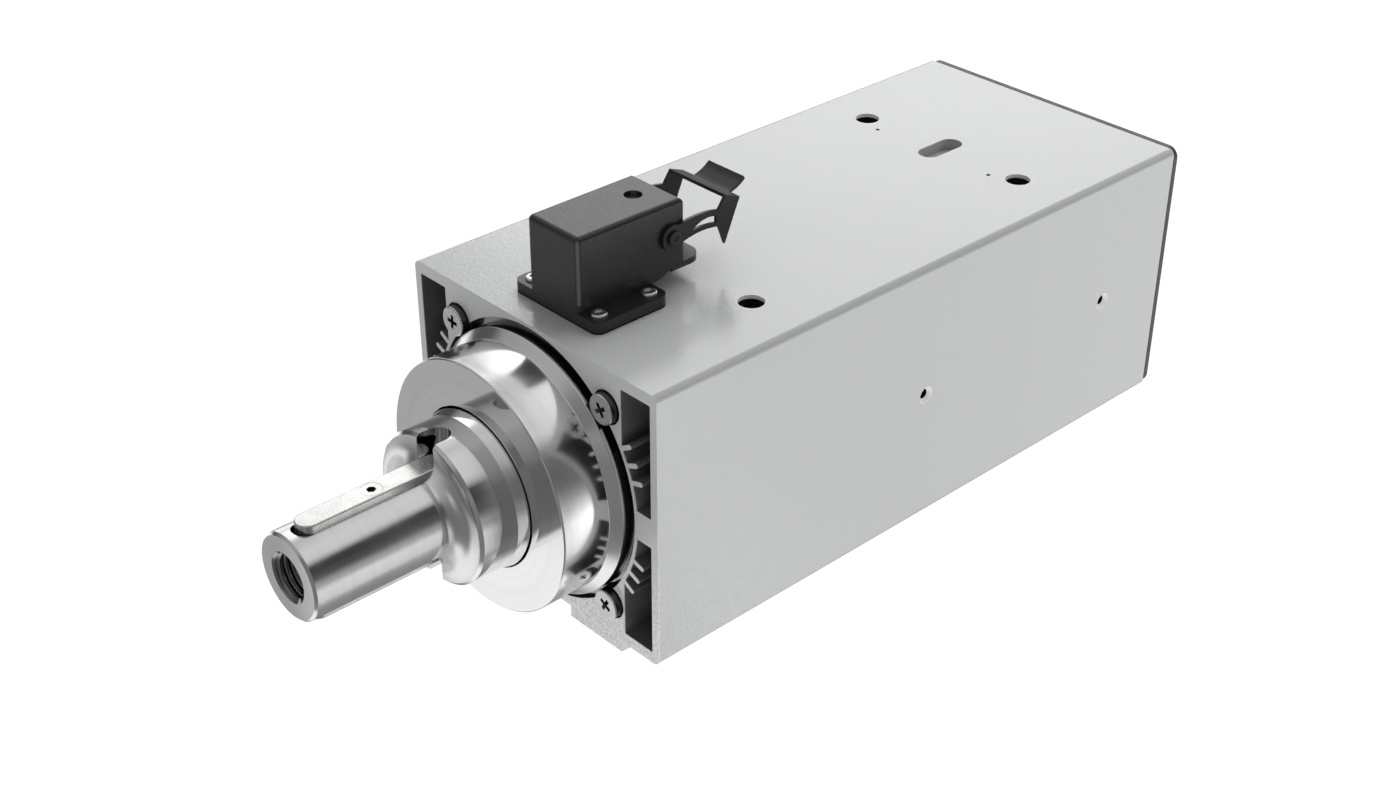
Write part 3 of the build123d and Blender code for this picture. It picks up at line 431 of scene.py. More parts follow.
    def finish(
        self, colour: Socket, roughness: object, metallic: float, normal: Socket | None = None
    ) -> bpy.types.Material:
        """Sets the shader's main sockets.

        Args:
            colour: Base colour.
            roughness: Roughness, or a socket.
            metallic: Share of metal.
            normal: Bumped normal.

        Returns:
            The material.
        """
        self.put(self.shader.inputs["Base Color"], colour)
        self.put(self.shader.inputs["Roughness"], roughness)
        self.put(self.shader.inputs["Metallic"], metallic)
        if normal is not None:
            self.put(self.shader.inputs["Normal"], normal)
        return self.material


@dataclass(frozen=True)
class Coat:
    """A baked coat with a fine orange peel, lightly soiled."""

    name: str
    colour: Triple
    peel: float = 0.0012
    peel_height: float = 0.00004
    roughness: float = 0.17
    cloud: float = 0.05
    cloud_shade: float = 0.985
    speckle: float = 0.95

    @lru_cache
    def material(self) -> bpy.types.Material:
        """Builds the coat's material.

        Returns:
            The material.
        """
        made = Recipe(self.name)
        shade, gloss, peeled = self.skin(made)
        return made.finish(shade, gloss, 0.0, peeled)

    def skin(self, made: Recipe) -> tuple[Socket, Socket, Socket]:
        """Adds the coat's colour, gloss and peel to a recipe.

        Args:
            made: The recipe to add to.

        Returns:
            Colour, roughness and normal.
        """
        clouds = made.ramp(made.noise(self.cloud), 0.35, 0.65)
        grain = made.noise(self.peel * 0.42, 2.0, 0.6)
        shade = made.tint(clouds, shaded(self.colour, self.cloud_shade), self.colour)
        speckled = made.tint(made.ramp(grain, 0.50, 0.74), shade, shaded(self.colour, self.speckle))
        soft = made.raise_by(made.cells(self.peel), self.peel_height)
        rough = made.raise_by(grain, self.peel_height * 0.5, soft)
        gloss = made.spread(made.noise(self.peel * 2.0, 2.0), self.roughness - 0.05, self.roughness + 0.07)
        return speckled, gloss, rough


@dataclass(frozen=True)
class Drilling:
    """Holes at two places along the extrusion, in metres: painted light down to the rim's foot and painted
    shade below it.
    """

    middle: float
    spread: float
    radius: float
    inner_end: float
    rim_foot: float
    across: float = 0.0

    def bored(self, made: Recipe, beside: Socket, along: Socket) -> Socket:
        """Gives 1 inside the holes and 0 elsewhere.

        Args:
            made: The recipe to add to.
            beside: Distance from the face's middle line.
            along: Place along the shaft.

        Returns:
            The mask.
        """
        from_middle = made.sum("ABSOLUTE", made.sum("SUBTRACT", along, self.middle))
        row = made.sum("SUBTRACT", from_middle, self.spread)
        return made.within(made.length(made.sum("SUBTRACT", beside, self.across), row), 0.0, self.radius)


@dataclass(frozen=True)
class ExtrusionCoat(Coat):
    """The extrusion's coat, with a coarser saw-cut front painted lighter towards the bottom, dusty ducts and
    a darker mouth in painted shade, rounded long edges in painted shade, and drilled holes painted light down
    to the rim's foot and painted shade below it.
    """

    # Colour inside the ducts, a dark painted shade
    hollow: Triple = (0.145, 0.145, 0.148)
    hollow_roughness: float = 0.62
    speculars: Zone = (0.50, 0.06)
    # Near-black colour of the mouth at the front, a painted shade
    mouth: Triple = (0.035, 0.035, 0.036)
    # Near-white colour of the hole walls, a painted light on walls that lie in shade
    rim: Triple = (0.97, 0.97, 0.97)
    groove: Triple = (0.46, 0.46, 0.46)
    groove_reach: Triple = (0.0120, 0.0480, 0.1000)
    # Near-black colour deep in the holes, a painted shade
    painted_pit_shade: Triple = (0.010, 0.010, 0.010)
    # Colour of the saw-cut front, lighter than the coat: a painted light
    sawn_with_painted_light: Triple = (0.86, 0.86, 0.87)
    sawn_grit: float = 0.0011
    painted_light_heights: Zone = (0.005, -0.045)
    half_width: float = 0.0690
    half_height: float = 0.0596
    front: float = -0.0990
    rear: float = 0.2054
    mouth_half_width: float = 0.0515
    mouth_depth: float = 0.0140
    screw_holes: Drilling = Drilling(0.0527, 0.0790, 0.0056, 0.0400, 0.0583, across=0.0435)
    side_holes: Drilling = Drilling(0.1062, 0.0585, 0.0038, 0.0600, 0.0694)
    # Rounded long edges are darkened, a painted shade
    painted_shade_lean: Zone = (0.08, 0.42)
    painted_edge_shade: float = 0.80

    @lru_cache
    def material(self) -> bpy.types.Material:
        """Builds the extrusion's material.

        Returns:
            The material.
        """
        made = Recipe(self.name)
        shade, gloss, peeled = self.skin(made)
        x, along, z = made.parts()
        aside = made.sum("ABSOLUTE", x)
        height = made.sum("SUBTRACT", z, AXIS_HEIGHT)
        # Painted light: the front face grows lighter towards the bottom, over a real saw grit
        grit = made.ramp(made.noise(self.sawn_grit, 2.0, 0.6), 0.40, 0.62)
        sawn_with_painted_light = made.tint(grit, self.sawn_with_painted_light, shaded(self.sawn_with_painted_light, 0.72))
        painted_light_front = made.all_of(made.within(along, self.front, 0.0005), made.ramp(height, *self.painted_light_heights))
        shade = made.tint(painted_light_front, shade, sawn_with_painted_light)
        # Painted shade on the rounded long edges, found by how far the face leans between side and top
        edges = made.leaning("True Normal", (0, 2), self.painted_shade_lean)
        shade = made.tint(edges, shade, shaded(self.colour, self.painted_edge_shade))
        inside = made.all_of(
            made.within(aside, 0.0, self.half_width),
            made.within(height, 0.0, self.half_height),
            made.within(along, (self.front + self.rear) / 2, (self.rear - self.front) / 2),
        )
        # Inside the extrusion the coat gives way to painted shade
        colour = made.tint(inside, shade, self.inner_dust_and_shade(made, aside, along, height))
        tall = made.sum("ABSOLUTE", height)
        # The holes' walls are painted near white down to the rim's foot and near black below: painted light
        # and painted shade
        for holes, beside, out in ((self.screw_holes, aside, tall), (self.side_holes, height, aside)):
            beyond = made.sum("GREATER_THAN", out, holes.inner_end)
            bored = made.all_of(holes.bored(made, beside, along), beyond)
            painted_hole_wall = made.tint(made.sum("LESS_THAN", out, holes.rim_foot), self.rim, self.painted_pit_shade)
            colour = made.tint(bored, colour, painted_hole_wall)
        made.put(made.shader.inputs["Specular IOR Level"], made.ramp(inside, 0.0, 1.0, *self.speculars))
        return made.finish(colour, made.blend(inside, gloss, self.hollow_roughness), 0.0, peeled)

    def inner_dust_and_shade(self, made: Recipe, aside: Socket, along: Socket, height: Socket) -> Socket:
        """Gives the colour inside the extrusion: a dark painted shade with dust, a darker painted shade in
        the mouth and paler in the locating groove.

        Args:
            made: The recipe to add to.
            aside: Distance from the middle plane.
            along: Place along the shaft.
            height: Height over the shaft axis.

        Returns:
            The colour.
        """
        dust = made.spread(made.noise(0.009))
        dusty_painted_shade = made.tint(dust, shaded(self.hollow, 0.85), shaded(self.hollow, 1.15))
        half_width, above, behind = self.groove_reach
        beyond = (made.sum("GREATER_THAN", height, above), made.sum("GREATER_THAN", along, behind))
        dusty_painted_shade = made.tint(made.all_of(made.within(aside, 0.0, half_width), *beyond), dusty_painted_shade, self.groove)
        # The mouth at the front is painted near black, a painted shade
        near_front = made.within(along, self.front, self.mouth_depth)
        in_mouth = made.all_of(made.within(aside, 0.0, self.mouth_half_width), near_front)
        return made.tint(in_mouth, dusty_painted_shade, self.mouth)


@dataclass(frozen=True)
class TurnedSteel:
    """Steel turned and polished about the shaft axis. A zone is a stretch's middle and half of its length."""

    name: str
    colour: Triple = (0.78, 0.78, 0.78)
    groove: float = 0.00022
    groove_height: float = 0.0000012
    roughness: float = 0.13
    anisotropy: float = 0.25
    faces: tuple[float, ...] = (-0.1273, -0.2113)
    face_reach: float = 0.0003
    face_roughness: float = 0.055
    keyway: tuple[Zone, Zone, Zone] = ((0.0, 0.00503), (-0.1490, 0.0120), (0.0215, 0.0090))
    milled: Triple = (0.42, 0.42, 0.42)
    milled_roughness: float = 0.42
    bore: Zone = (-0.1950, 0.0165)
    bore_radius: float = 0.0103
    # The tapped bore is painted darker, a painted shade
    painted_bore_shade: Triple = (0.30, 0.30, 0.30)
    gap: Zone = (-0.0984, 0.0024)
    gap_radius: float = 0.0548
    # The flange and its ears in the gap round the boss are painted darker, a painted shade
    painted_gap_shade: Triple = (0.34, 0.34, 0.34)
    collar: Zone = (-0.1382, 0.0110)
    collar_roughness: float = 0.06
    flare: Zone = (-0.1524, 0.0034)
    flare_radii: Zone = (0.0176, 0.0312)
    flare_roughness: float = 0.26

    @lru_cache
    def material(self) -> bpy.types.Material:
        """Builds the steel's material.

        Returns:
            The material.
        """
        made = Recipe(self.name)
        across, upward, radius = made.off_axis()
        along = made.parts()[1]
        shade = made.tint(made.spread(made.turning(0.0035)), shaded(self.colour, 0.93), self.colour)
        gloss = made.spread(made.noise(0.018), self.roughness - 0.03, self.roughness + 0.05)
        faced = made.within(along, self.faces[0], self.face_reach)
        for face in self.faces[1:]:
            faced = made.sum("MAXIMUM", faced, made.within(along, face, self.face_reach))
        gloss = made.sum("SUBTRACT", gloss, made.sum("MULTIPLY", faced, self.roughness - self.face_roughness))
        places = (across, along, made.sum("ABSOLUTE", upward))
        milled = made.all_of(*(made.within(place, *zone) for place, zone in zip(places, self.keyway)))
        gloss = made.sum("MAXIMUM", gloss, made.sum("MULTIPLY", milled, self.milled_roughness))
        bored = made.all_of(made.within(along, *self.bore), made.sum("LESS_THAN", radius, self.bore_radius))
        gap = made.all_of(made.within(along, *self.gap), made.sum("GREATER_THAN", radius, self.gap_radius))
        # The keyway gets the milled colour; the bore and the gap get painted shade
        for mask, colour in ((milled, self.milled), (bored, self.painted_bore_shade), (gap, self.painted_gap_shade)):
            shade = made.tint(mask, shade, colour)
        flared = made.within(along, *self.flare)
        gloss = made.blend(made.within(along, *self.collar), gloss, self.collar_roughness)
        gloss = made.blend(flared, gloss, self.flare_roughness)
        made.put(made.shader.inputs["Anisotropic"], self.anisotropy)
        made.put(made.shader.inputs["Tangent"], made.round_the_axis())
        hollow = made.hollowed(flared, *self.flare_radii)
        rings = made.raise_by(made.turning(self.groove), self.groove_height, hollow)
        return made.finish(shade, gloss, 1.0, rings)


@dataclass(frozen=True)
class BrightSteel:
    """Plated or ground steel with faint handling marks."""

    name: str
    colour: Triple = (0.72, 0.72, 0.71)
    roughness: float = 0.26
    grain: float = 0.0005
    grain_height: float = 0.000008
    film: float = 0.006

    @lru_cache
    def material(self) -> bpy.types.Material:
        """Builds the steel's material.

        Returns:
            The material.
        """
        made = Recipe(self.name)
        grain = made.noise(self.grain, 3.0, 0.65)
        film = made.ramp(made.noise(self.film), 0.35, 0.7)
        shade = made.tint(film, shaded(self.colour, 0.86), self.colour)
        gloss = made.spread(grain, self.roughness - 0.05, self.roughness + 0.10)
        return made.finish(shade, gloss, 1.0, made.raise_by(grain, self.grain_height))


@dataclass(frozen=True)
class Moulding:
    """Moulded plastic or die-cast metal under a dark matt coat, with a painted highlight on upright edges
    above a height.
    """

    name: str
    colour: Triple
    roughness: float = 0.40
    grain: float = 0.0006
    grain_height: float = 0.00002
    specular: float = 0.5
    painted_edge_highlight: float = 1.0
    highlight_above: float = 0.1335
    highlight_lean: Zone = (0.34, 0.46)

    @lru_cache
    def material(self) -> bpy.types.Material:
        """Builds the moulding's material.

        Returns:
            The material.
        """
        made = Recipe(self.name)
        grain = made.noise(self.grain, 3.0, 0.6)
        clouds = made.spread(made.noise(0.012))
        shade = made.tint(clouds, shaded(self.colour, 0.85), shaded(self.colour, 1.1))
        gloss = made.spread(grain, self.roughness - 0.05, self.roughness + 0.08)
        made.put(made.shader.inputs["Specular IOR Level"], self.specular)
        # Painted highlight: upright edges above a height are made lighter
        high = made.sum("GREATER_THAN", made.parts()[2], self.highlight_above)
        edge = made.all_of(made.leaning("Normal", (0, 1), self.highlight_lean), high)
        shade = made.tint(edge, shade, shaded(self.colour, self.painted_edge_highlight))
        return made.finish(shade, gloss, 0.0, made.raise_by(grain, self.grain_height))


@dataclass(frozen=True)
class Laminations:
    """Stacked varnished sheets, seen on edge along the shaft."""

    name: str
    colour: Triple = (0.16, 0.16, 0.17)
    sheet: float = 0.0005
    sheet_height: float = 0.00004
    roughness: Zone = (0.35, 0.55)

    @lru_cache
    def material(self) -> bpy.types.Material:
        """Builds the laminations' material.

        Returns:
            The material.
        """
        made = Recipe(self.name)
        edge = made.noise(self.sheet, 2.0, 0.5, made.stretched((0.02, 1.0, 0.02)))
        shade = made.tint(edge, shaded(self.colour, 0.6), shaded(self.colour, 1.3))
        gloss = made.spread(made.noise(0.01), *self.roughness)
        return made.finish(shade, gloss, 0.85, made.raise_by(edge, self.sheet_height))


@dataclass(frozen=True)
class Copper:
    """Enamelled wire under varnish."""

    name: str
    colour: Triple = (0.42, 0.16, 0.06)
    wire: float = 0.0011
    wire_height: float = 0.0003
    varnish: float = 0.6
    roughness: Zone = (0.25, 0.5)

    @lru_cache
    def material(self) -> bpy.types.Material:
        """Builds the wire's material.

        Returns:
            The material.
        """
        made = Recipe(self.name)
        strands = made.noise(self.wire, 1.0, 0.4, made.stretched((1.0, 0.12, 1.0)))
        shade = made.tint(made.ramp(strands, 0.35, 0.65), shaded(self.colour, 0.45), self.colour)
        made.put(made.shader.inputs["Coat Weight"], self.varnish)
        gloss = made.spread(made.noise(0.008), *self.roughness)
        return made.finish(shade, gloss, 0.6, made.raise_by(strands, self.wire_height))


class Palette(Enum):
    """The finishes of the motor, by what they cover."""

    HOUSING = ExtrusionCoat("housing_coat", (0.60, 0.605, 0.61))
    COVER = Coat("cover_coat", (0.045, 0.046, 0.047), peel=0.0009, peel_height=0.00005, roughness=0.46)
    TURNED = TurnedSteel("turned_steel")
    GROUND = TurnedSteel(
        "bearing_steel", (0.82, 0.82, 0.83), groove=0.0001, groove_height=5e-7, roughness=0.12, anisotropy=0.3
    )
    SCREW = BrightSteel("screw_steel")
    # Dark steel: the flange washers' finish, and a painted shade on the screws' recesses and the flange
    # screws' head sides
    OXIDE = BrightSteel("dark_steel", (0.13, 0.13, 0.13), 0.36)
    CAST = BrightSteel("cast_aluminium", (0.60, 0.61, 0.62), 0.48)
    BRASS = BrightSteel("cage_brass", (0.72, 0.52, 0.22), 0.30)
    PLATING = BrightSteel("contact_plating", (0.86, 0.84, 0.78), 0.18)
    STACK = Laminations("lamination_steel")
    WIRE = Copper("winding_copper")
    # The connector's upright edges take a painted highlight, six times the coat's colour
    CONNECTOR = Moulding("connector_plastic", (0.0180, 0.0180, 0.0185), 0.32, painted_edge_highlight=6.0)
    LEVER = Moulding("lever_steel", (0.017, 0.017, 0.017), 0.30, 0.0004, 0.000006, specular=0.40)
    GASKET = Moulding("gasket_rubber", (0.010, 0.010, 0.010), 0.70, 0.0008, 0.00003, specular=0.3)
    INSERT = Moulding("insert_plastic", (0.50, 0.49, 0.45), 0.45)
    SLEEVE = Moulding("lead_sleeve", (0.015, 0.015, 0.015), 0.60)
    FAN = Moulding("fan_plastic", (0.020, 0.020, 0.021), 0.42)

    @property
    def slot(self) -> str:
        """Gives a slot name for the finish: its material's name, and for the dark steel the bright screw
        steel's name.
        """
        return Palette.SCREW.value.name if self is Palette.OXIDE else self.value.name

    def dress(self, piece: bpy.types.Object) -> None:
        """Gives the finish to all of a piece."""
        piece.data.materials.clear()
        piece.data.materials.append(self.value.material())


def deselect() -> None:
    """Leaves nothing selected."""
    bpy.ops.object.select_all(action="DESELECT")


def pick(piece: bpy.types.Object) -> None:
    """Selects one object alone and makes it active.

    Args:
        piece: The object.
    """
    deselect()
    piece.select_set(True)
    bpy.context.view_layer.objects.active = piece


def choose(piece: bpy.types.Object, test: Callable[[Vector, Vector], bool], part: str = "FACE") -> None:
    """Goes into edit mode with the faces or edges selected that pass a test.

    Args:
        piece: The active object.
        test: Takes the lowest and the highest corner of a face or edge.
        part: FACE or EDGE.
    """
    bpy.ops.object.mode_set(mode="EDIT")
    bpy.ops.mesh.select_mode(type=part)
    bpy.ops.mesh.select_all(action="DESELECT")
    bpy.ops.object.mode_set(mode="OBJECT")
    for item in piece.data.polygons if part == "FACE" else piece.data.edges:
        ends = [piece.data.vertices[number].co for number in item.vertices]
        low, high = (Vector(limit(end[axis] for end in ends) for axis in range(3)) for limit in (min, max))
        item.select = test(low, high)
    bpy.ops.object.mode_set(mode="EDIT")


def carve(piece: bpy.types.Object, tool: bpy.types.Object) -> None:
    """Cuts a tool's shape out of a piece, and throws the tool away.

    Args:
        piece: The piece to cut.
        tool: A closed shape.
    """
    pick(piece)
    cut = piece.modifiers.new("cut", "BOOLEAN")
    cut.operation = "DIFFERENCE"
    cut.solver = "EXACT"
    cut.material_mode = "TRANSFER"
    cut.object = tool
    bpy.ops.object.modifier_apply(modifier=cut.name)
    bpy.data.objects.remove(tool)


def break_edges(piece: bpy.types.Object, width: float) -> None:
    """Rounds a piece's sharp edges.

    Args:
        piece: The piece.
        width: Width of the rounding, in metres, or 0 to leave the edges.
    """
    if width > 0:
        pick(piece)
        bevel = piece.modifiers.new("edge", "BEVEL")
        bevel.width = width
        bevel.segments = 2
        bevel.limit_method = "ANGLE"
        bevel.angle_limit = math.radians(CREASE)
        bevel.miter_outer = "MITER_SHARP"
        bpy.ops.object.modifier_apply(modifier=bevel.name)


def smooth(piece: bpy.types.Object, crease: float = CREASE) -> None:
    """Shades a piece smooth, apart from its sharp edges.

    Args:
        piece: The piece.
        crease: The smallest angle that stays sharp, in degrees.
    """
    pick(piece)
    bpy.ops.object.shade_smooth_by_angle(angle=math.radians(crease))
    weights = piece.modifiers.new("normals", "WEIGHTED_NORMAL")
    weights.keep_sharp = True
    bpy.ops.object.modifier_apply(modifier=weights.name)


def install(piece: bpy.types.Object, node: str, finish: Palette) -> None:
    """Dresses a piece, lets it stand for a CAD node and lets it ride with that node's body.

    Args:
        piece: The new piece.
        node: The CAD node's name.
        finish: What covers the piece.
    """
    if not any(piece.data.materials):
        finish.dress(piece)
    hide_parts(node)
    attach(piece, body_of(frame["nodes"][node])[0])
    LOG.info("%s: %d faces", piece.name, len(piece.data.polygons))


def welded(node: str) -> bpy.types.Object:
    """Copies a CAD node as one merged mesh.

    Args:
        node: The CAD node's name.

    Returns:
        The copy, which is the active object.
    """
    piece = bpy.data.objects.new(node + "_finished", frame["nodes"][node].data.copy())
    piece.data.materials.clear()
    bpy.context.scene.collection.objects.link(piece)
    pick(piece)
    bpy.ops.object.mode_set(mode="EDIT")
    bpy.ops.mesh.select_all(action="SELECT")
    bpy.ops.mesh.customdata_custom_splitnormals_clear()
    bpy.ops.mesh.remove_doubles(threshold=HAIR)
    bpy.ops.mesh.dissolve_limited(angle_limit=math.radians(0.4))
    bpy.ops.object.mode_set(mode="OBJECT")
    return piece


def blank(radius: float, height: float, sides: int) -> bpy.types.Object:
    """Starts a fastener with the round blank of its head, which stands on 0.

    Args:
        radius: The head's radius.
        height: The head's height.
        sides: Sides of the round.

    Returns:
        The blank.
    """
    deselect()
    middle = (0.0, 0.0, height / 2)
    bpy.ops.mesh.primitive_cylinder_add(vertices=sides, radius=radius, depth=height, location=middle)
    bpy.ops.object.transform_apply(location=True, rotation=True, scale=True)
    return bpy.context.object


def draw_down(depth: float) -> None:
    """Extrudes the selected faces straight down."""
    bpy.ops.mesh.extrude_region_move(TRANSFORM_OT_translate={"value": (0.0, 0.0, -depth)})


def narrow(share: float, height: float = 0.0) -> None:
    """Narrows what is selected to a share of its width about the upright axis."""
    bpy.ops.transform.resize(value=(share, share, 1.0), center_override=(0.0, 0.0, height))


class Drive(Enum):
    """The recess in a screw's head."""

    CROSS = "cross"
    HEXAGON = "hexagon"


@dataclass(frozen=True)
class Screw:
    """A screw with a rounded head and a driver's recess, in metres. The underside of its head is at 0."""

    head_radius: float
    head_height: float
    rounding: float
    shank_radius: float
    shank_length: float
    drive: Drive
    drive_radius: float
    drive_depth: float
    countersunk: bool = False
    # The head's sides and shank take the sides finish and the recess the socket finish; dark steel there is a
    # painted shade
    sides: Palette = Palette.SCREW
    socket: Palette = Palette.OXIDE
    tip_share: float = 0.05
    over: float = 0.0005

    def model(self) -> bpy.types.Object:
        """Models the screw with its head up, its face and the rest of it dressed.

        Returns:
            The screw.
        """
        screw = blank(self.head_radius, self.head_height, 64)
        choose(screw, lambda low, high: high.z < HAIR)
        if self.countersunk:
            narrow(self.shank_radius / self.head_radius)
        else:
            bpy.ops.mesh.inset(thickness=self.head_radius - self.shank_radius, depth=0.0)
        draw_down(self.shank_length * (1.0 - self.tip_share))
        draw_down(self.shank_length * self.tip_share)
        narrow(0.8)
        if self.rounding > 0:
            choose(screw, lambda low, high: low.z > self.head_height - HAIR, "EDGE")
            bpy.ops.mesh.bevel(offset=self.rounding, segments=5, affect="EDGES")
        bpy.ops.object.mode_set(mode="OBJECT")
        # Only the head's face takes the bright steel; a dark socket or sides finish is a painted shade
        for finish in (Palette.SCREW, self.socket, self.sides):
            screw.data.materials.append(finish.value.material())
        for side in screw.data.polygons:
            side.material_index = 0 if side.center.z > self.head_height - self.rounding * 0.6 - HAIR else 2
        for tool in self.recess():
            self.socket.dress(tool)
            carve(screw, tool)
        break_edges(screw, 0.0001)
        smooth(screw)
        return screw

    def recess(self) -> list[bpy.types.Object]:
        """Models the tools that cut the recess.

        Returns:
            The tools: one hexagon, or the two bars of a cross.
        """
        reach, deep = self.drive_radius, self.drive_depth + self.over
        middle = (0.0, 0.0, self.head_height + self.over - deep / 2)
        deselect()
        if self.drive is Drive.HEXAGON:
            bpy.ops.mesh.primitive_cylinder_add(vertices=6, radius=reach, depth=deep, location=middle)
            return [self.tapered(0.96)]
        tools = []
        for turn in (0.0, math.pi / 2):
            deselect()
            size = (2 * reach, 0.55 * reach, deep)
            bpy.ops.mesh.primitive_cube_add(size=1.0, location=middle, scale=size)
            tools.append(self.tapered(0.55))
            tools[-1].data.transform(Matrix.Rotation(turn, 4, "Z"))
        return tools

    @staticmethod
    def tapered(share: float) -> bpy.types.Object:
        """Narrows the bottom of the tool just added to a share of its width, and applies its place.

        Args:
            share: Width of the bottom over that of the top.

        Returns:
            The tool.
        """
        tool = bpy.context.object
        bpy.ops.object.transform_apply(location=True, rotation=True, scale=True)
        foot = min(corner.co.z for corner in tool.data.vertices)
        choose(tool, lambda low, high: high.z < foot + HAIR)
        narrow(share, foot)
        bpy.ops.object.mode_set(mode="OBJECT")
        return tool


@dataclass(frozen=True)
class ThreadTap:
    """The shape that a tap cuts in the nose: a closed threaded rod along the shaft. Sizes are in metres."""

    root: float = 0.0084
    crest: float = 0.0099
    pitch: float = 0.0025
    front: float = -0.2125
    rear: float = -0.1790
    steps: int = 48

    def model(self) -> bpy.types.Object:
        """Models the rod as one groove wound round the shaft axis, cut off square at both ends.

        Returns:
            The rod.
        """
        rod = self.profile()
        winding = rod.modifiers.new("winding", "SCREW")
        winding.axis = "Y"
        winding.angle = 2 * math.pi
        winding.screw_offset = self.pitch
        winding.iterations = math.ceil((self.rear - self.front) / self.pitch + 2) + 2
        winding.steps = winding.render_steps = self.steps
        pick(rod)
        bpy.ops.object.modifier_apply(modifier=winding.name)
        bpy.ops.object.mode_set(mode="EDIT")
        bpy.ops.mesh.select_all(action="SELECT")
        bpy.ops.mesh.remove_doubles(threshold=1e-5)
        for place, rear in ((self.front, False), (self.rear, True)):
            bpy.ops.mesh.select_all(action="SELECT")
            bpy.ops.mesh.bisect(
                plane_co=(0.0, place, 0.0),
                plane_no=(0.0, 1.0, 0.0),
                use_fill=True,
                clear_inner=not rear,
                clear_outer=rear,
            )
        bpy.ops.mesh.select_all(action="SELECT")
        bpy.ops.mesh.normals_make_consistent(inside=False)
        bpy.ops.object.mode_set(mode="OBJECT")
        rod.data.transform(Matrix.Translation((0.0, 0.0, AXIS_HEIGHT)))
        return rod

    def profile(self) -> bpy.types.Object:
        """Models one groove's outline, two pitches in front of the bore.

        Returns:
            The outline: root, crest and root again.
        """
        deselect()
        bpy.ops.mesh.primitive_plane_add(size=self.pitch, location=(0.0, 0.0, 0.0))
        outline = bpy.context.object
        choose(outline, lambda low, high: low.x > 0 or low.y > 0, "EDGE")
        bpy.ops.mesh.delete(type="EDGE")
        bpy.ops.object.mode_set(mode="OBJECT")
        for corner in outline.data.vertices:
            share = 0.0 if corner.co.x > 0 else 1.0 if corner.co.y > 0 else 0.5
            radius = self.crest if share == 0.5 else self.root
            corner.co = (radius, self.front + (share - 2) * self.pitch, 0.0)
        return outline


@dataclass(frozen=True)
class Rivet:
    """A headed pin with a dimple in its head, in metres. The underside of its head is at 0."""

    head_radius: float = 0.0030
    head_height: float = 0.0009
    shank_radius: float = 0.0020
    shank_length: float = 0.0049
    dimple_radius: float = 0.0013
    dimple_depth: float = 0.0005

    def model(self) -> bpy.types.Object:
        """Models the rivet with its head up.

        Returns:
            The rivet.
        """
        rivet = blank(self.head_radius, self.head_height, 48)
        choose(rivet, lambda low, high: high.z < HAIR)
        bpy.ops.mesh.inset(thickness=self.head_radius - self.shank_radius, depth=0.0)
        draw_down(self.shank_length)
        choose(rivet, lambda low, high: low.z > self.head_height - HAIR)
        bpy.ops.mesh.inset(thickness=self.head_radius - self.dimple_radius, depth=0.0)
        draw_down(self.dimple_depth)
        narrow(0.6)
        bpy.ops.object.mode_set(mode="OBJECT")
        break_edges(rivet, 0.00015)
        smooth(rivet)
        return rivet


def set_in(pattern: bpy.types.Object, node: str, finish: Palette, seats: list[Seat]) -> None:
    """Sets a copy of a fastener in each seat, each turned a little further than the last.

    Args:
        pattern: The fastener, head up, the underside of its head at 0.
        node: The CAD node that the copies stand for.
        finish: What covers them.
        seats: The middle of each head's underside, and the way the head faces.
    """
    for number, (place, way) in enumerate(seats):
        copy = bpy.data.objects.new(f"{node}_{number + 1}", pattern.data.copy())
        bpy.context.scene.collection.objects.link(copy)
        turn = way.to_track_quat("Z", "Y").to_matrix().to_4x4() @ Matrix.Rotation(0.4 + 1.1 * number, 4, "Z")
        copy.data.transform(Matrix.Translation(place) @ turn)
        install(copy, node, finish)
    bpy.data.objects.remove(pattern)


def four_seats(middle: Triple, reach: Triple, way: Triple) -> list[Seat]:
    """Gives the seats of four fasteners in the corners of a rectangle.

    Args:
        middle: The rectangle's middle.
        reach: Half of its width along X, and half of its height along Y or Z.
        way: The way the heads face.

    Returns:
        The seats.
    """
    steps = [Vector((left * reach[0], up * reach[1], up * reach[2])) for left in (-1, 1) for up in (-1, 1)]
    return [(Vector(middle) + step, Vector(way)) for step in steps]


@dataclass(frozen=True)
class Dressing:
    """A CAD node with its finish and the width of its broken edges, in metres."""

    node: str
    finish: Palette
    edge: float = 0.0


@dataclass
class SubAssembly:
    """Pieces that come off the bench together."""

    dressings: tuple[Dressing, ...] = ()
    crease: float = CREASE

    def dress(self) -> None:
        """Dresses every node of the sub-assembly and fastens it."""
        for dressing in self.dressings:
            piece = welded(dressing.node)
            break_edges(piece, dressing.edge)
            self.machine(piece, dressing.node)
            smooth(piece, self.crease)
            install(piece, dressing.node, dressing.finish)
        self.fasten()

    def machine(self, piece: bpy.types.Object, node: str) -> None:
        """Cuts finer shapes into a piece than its CAD node has."""

    def fasten(self) -> None:
        """Sets in the fasteners."""


@dataclass
class ExtrudedHousing(SubAssembly):
    """The square finned extrusion on its foot rails."""

    dressings: tuple[Dressing, ...] = (Dressing("housing", Palette.HOUSING, 0.0003),)


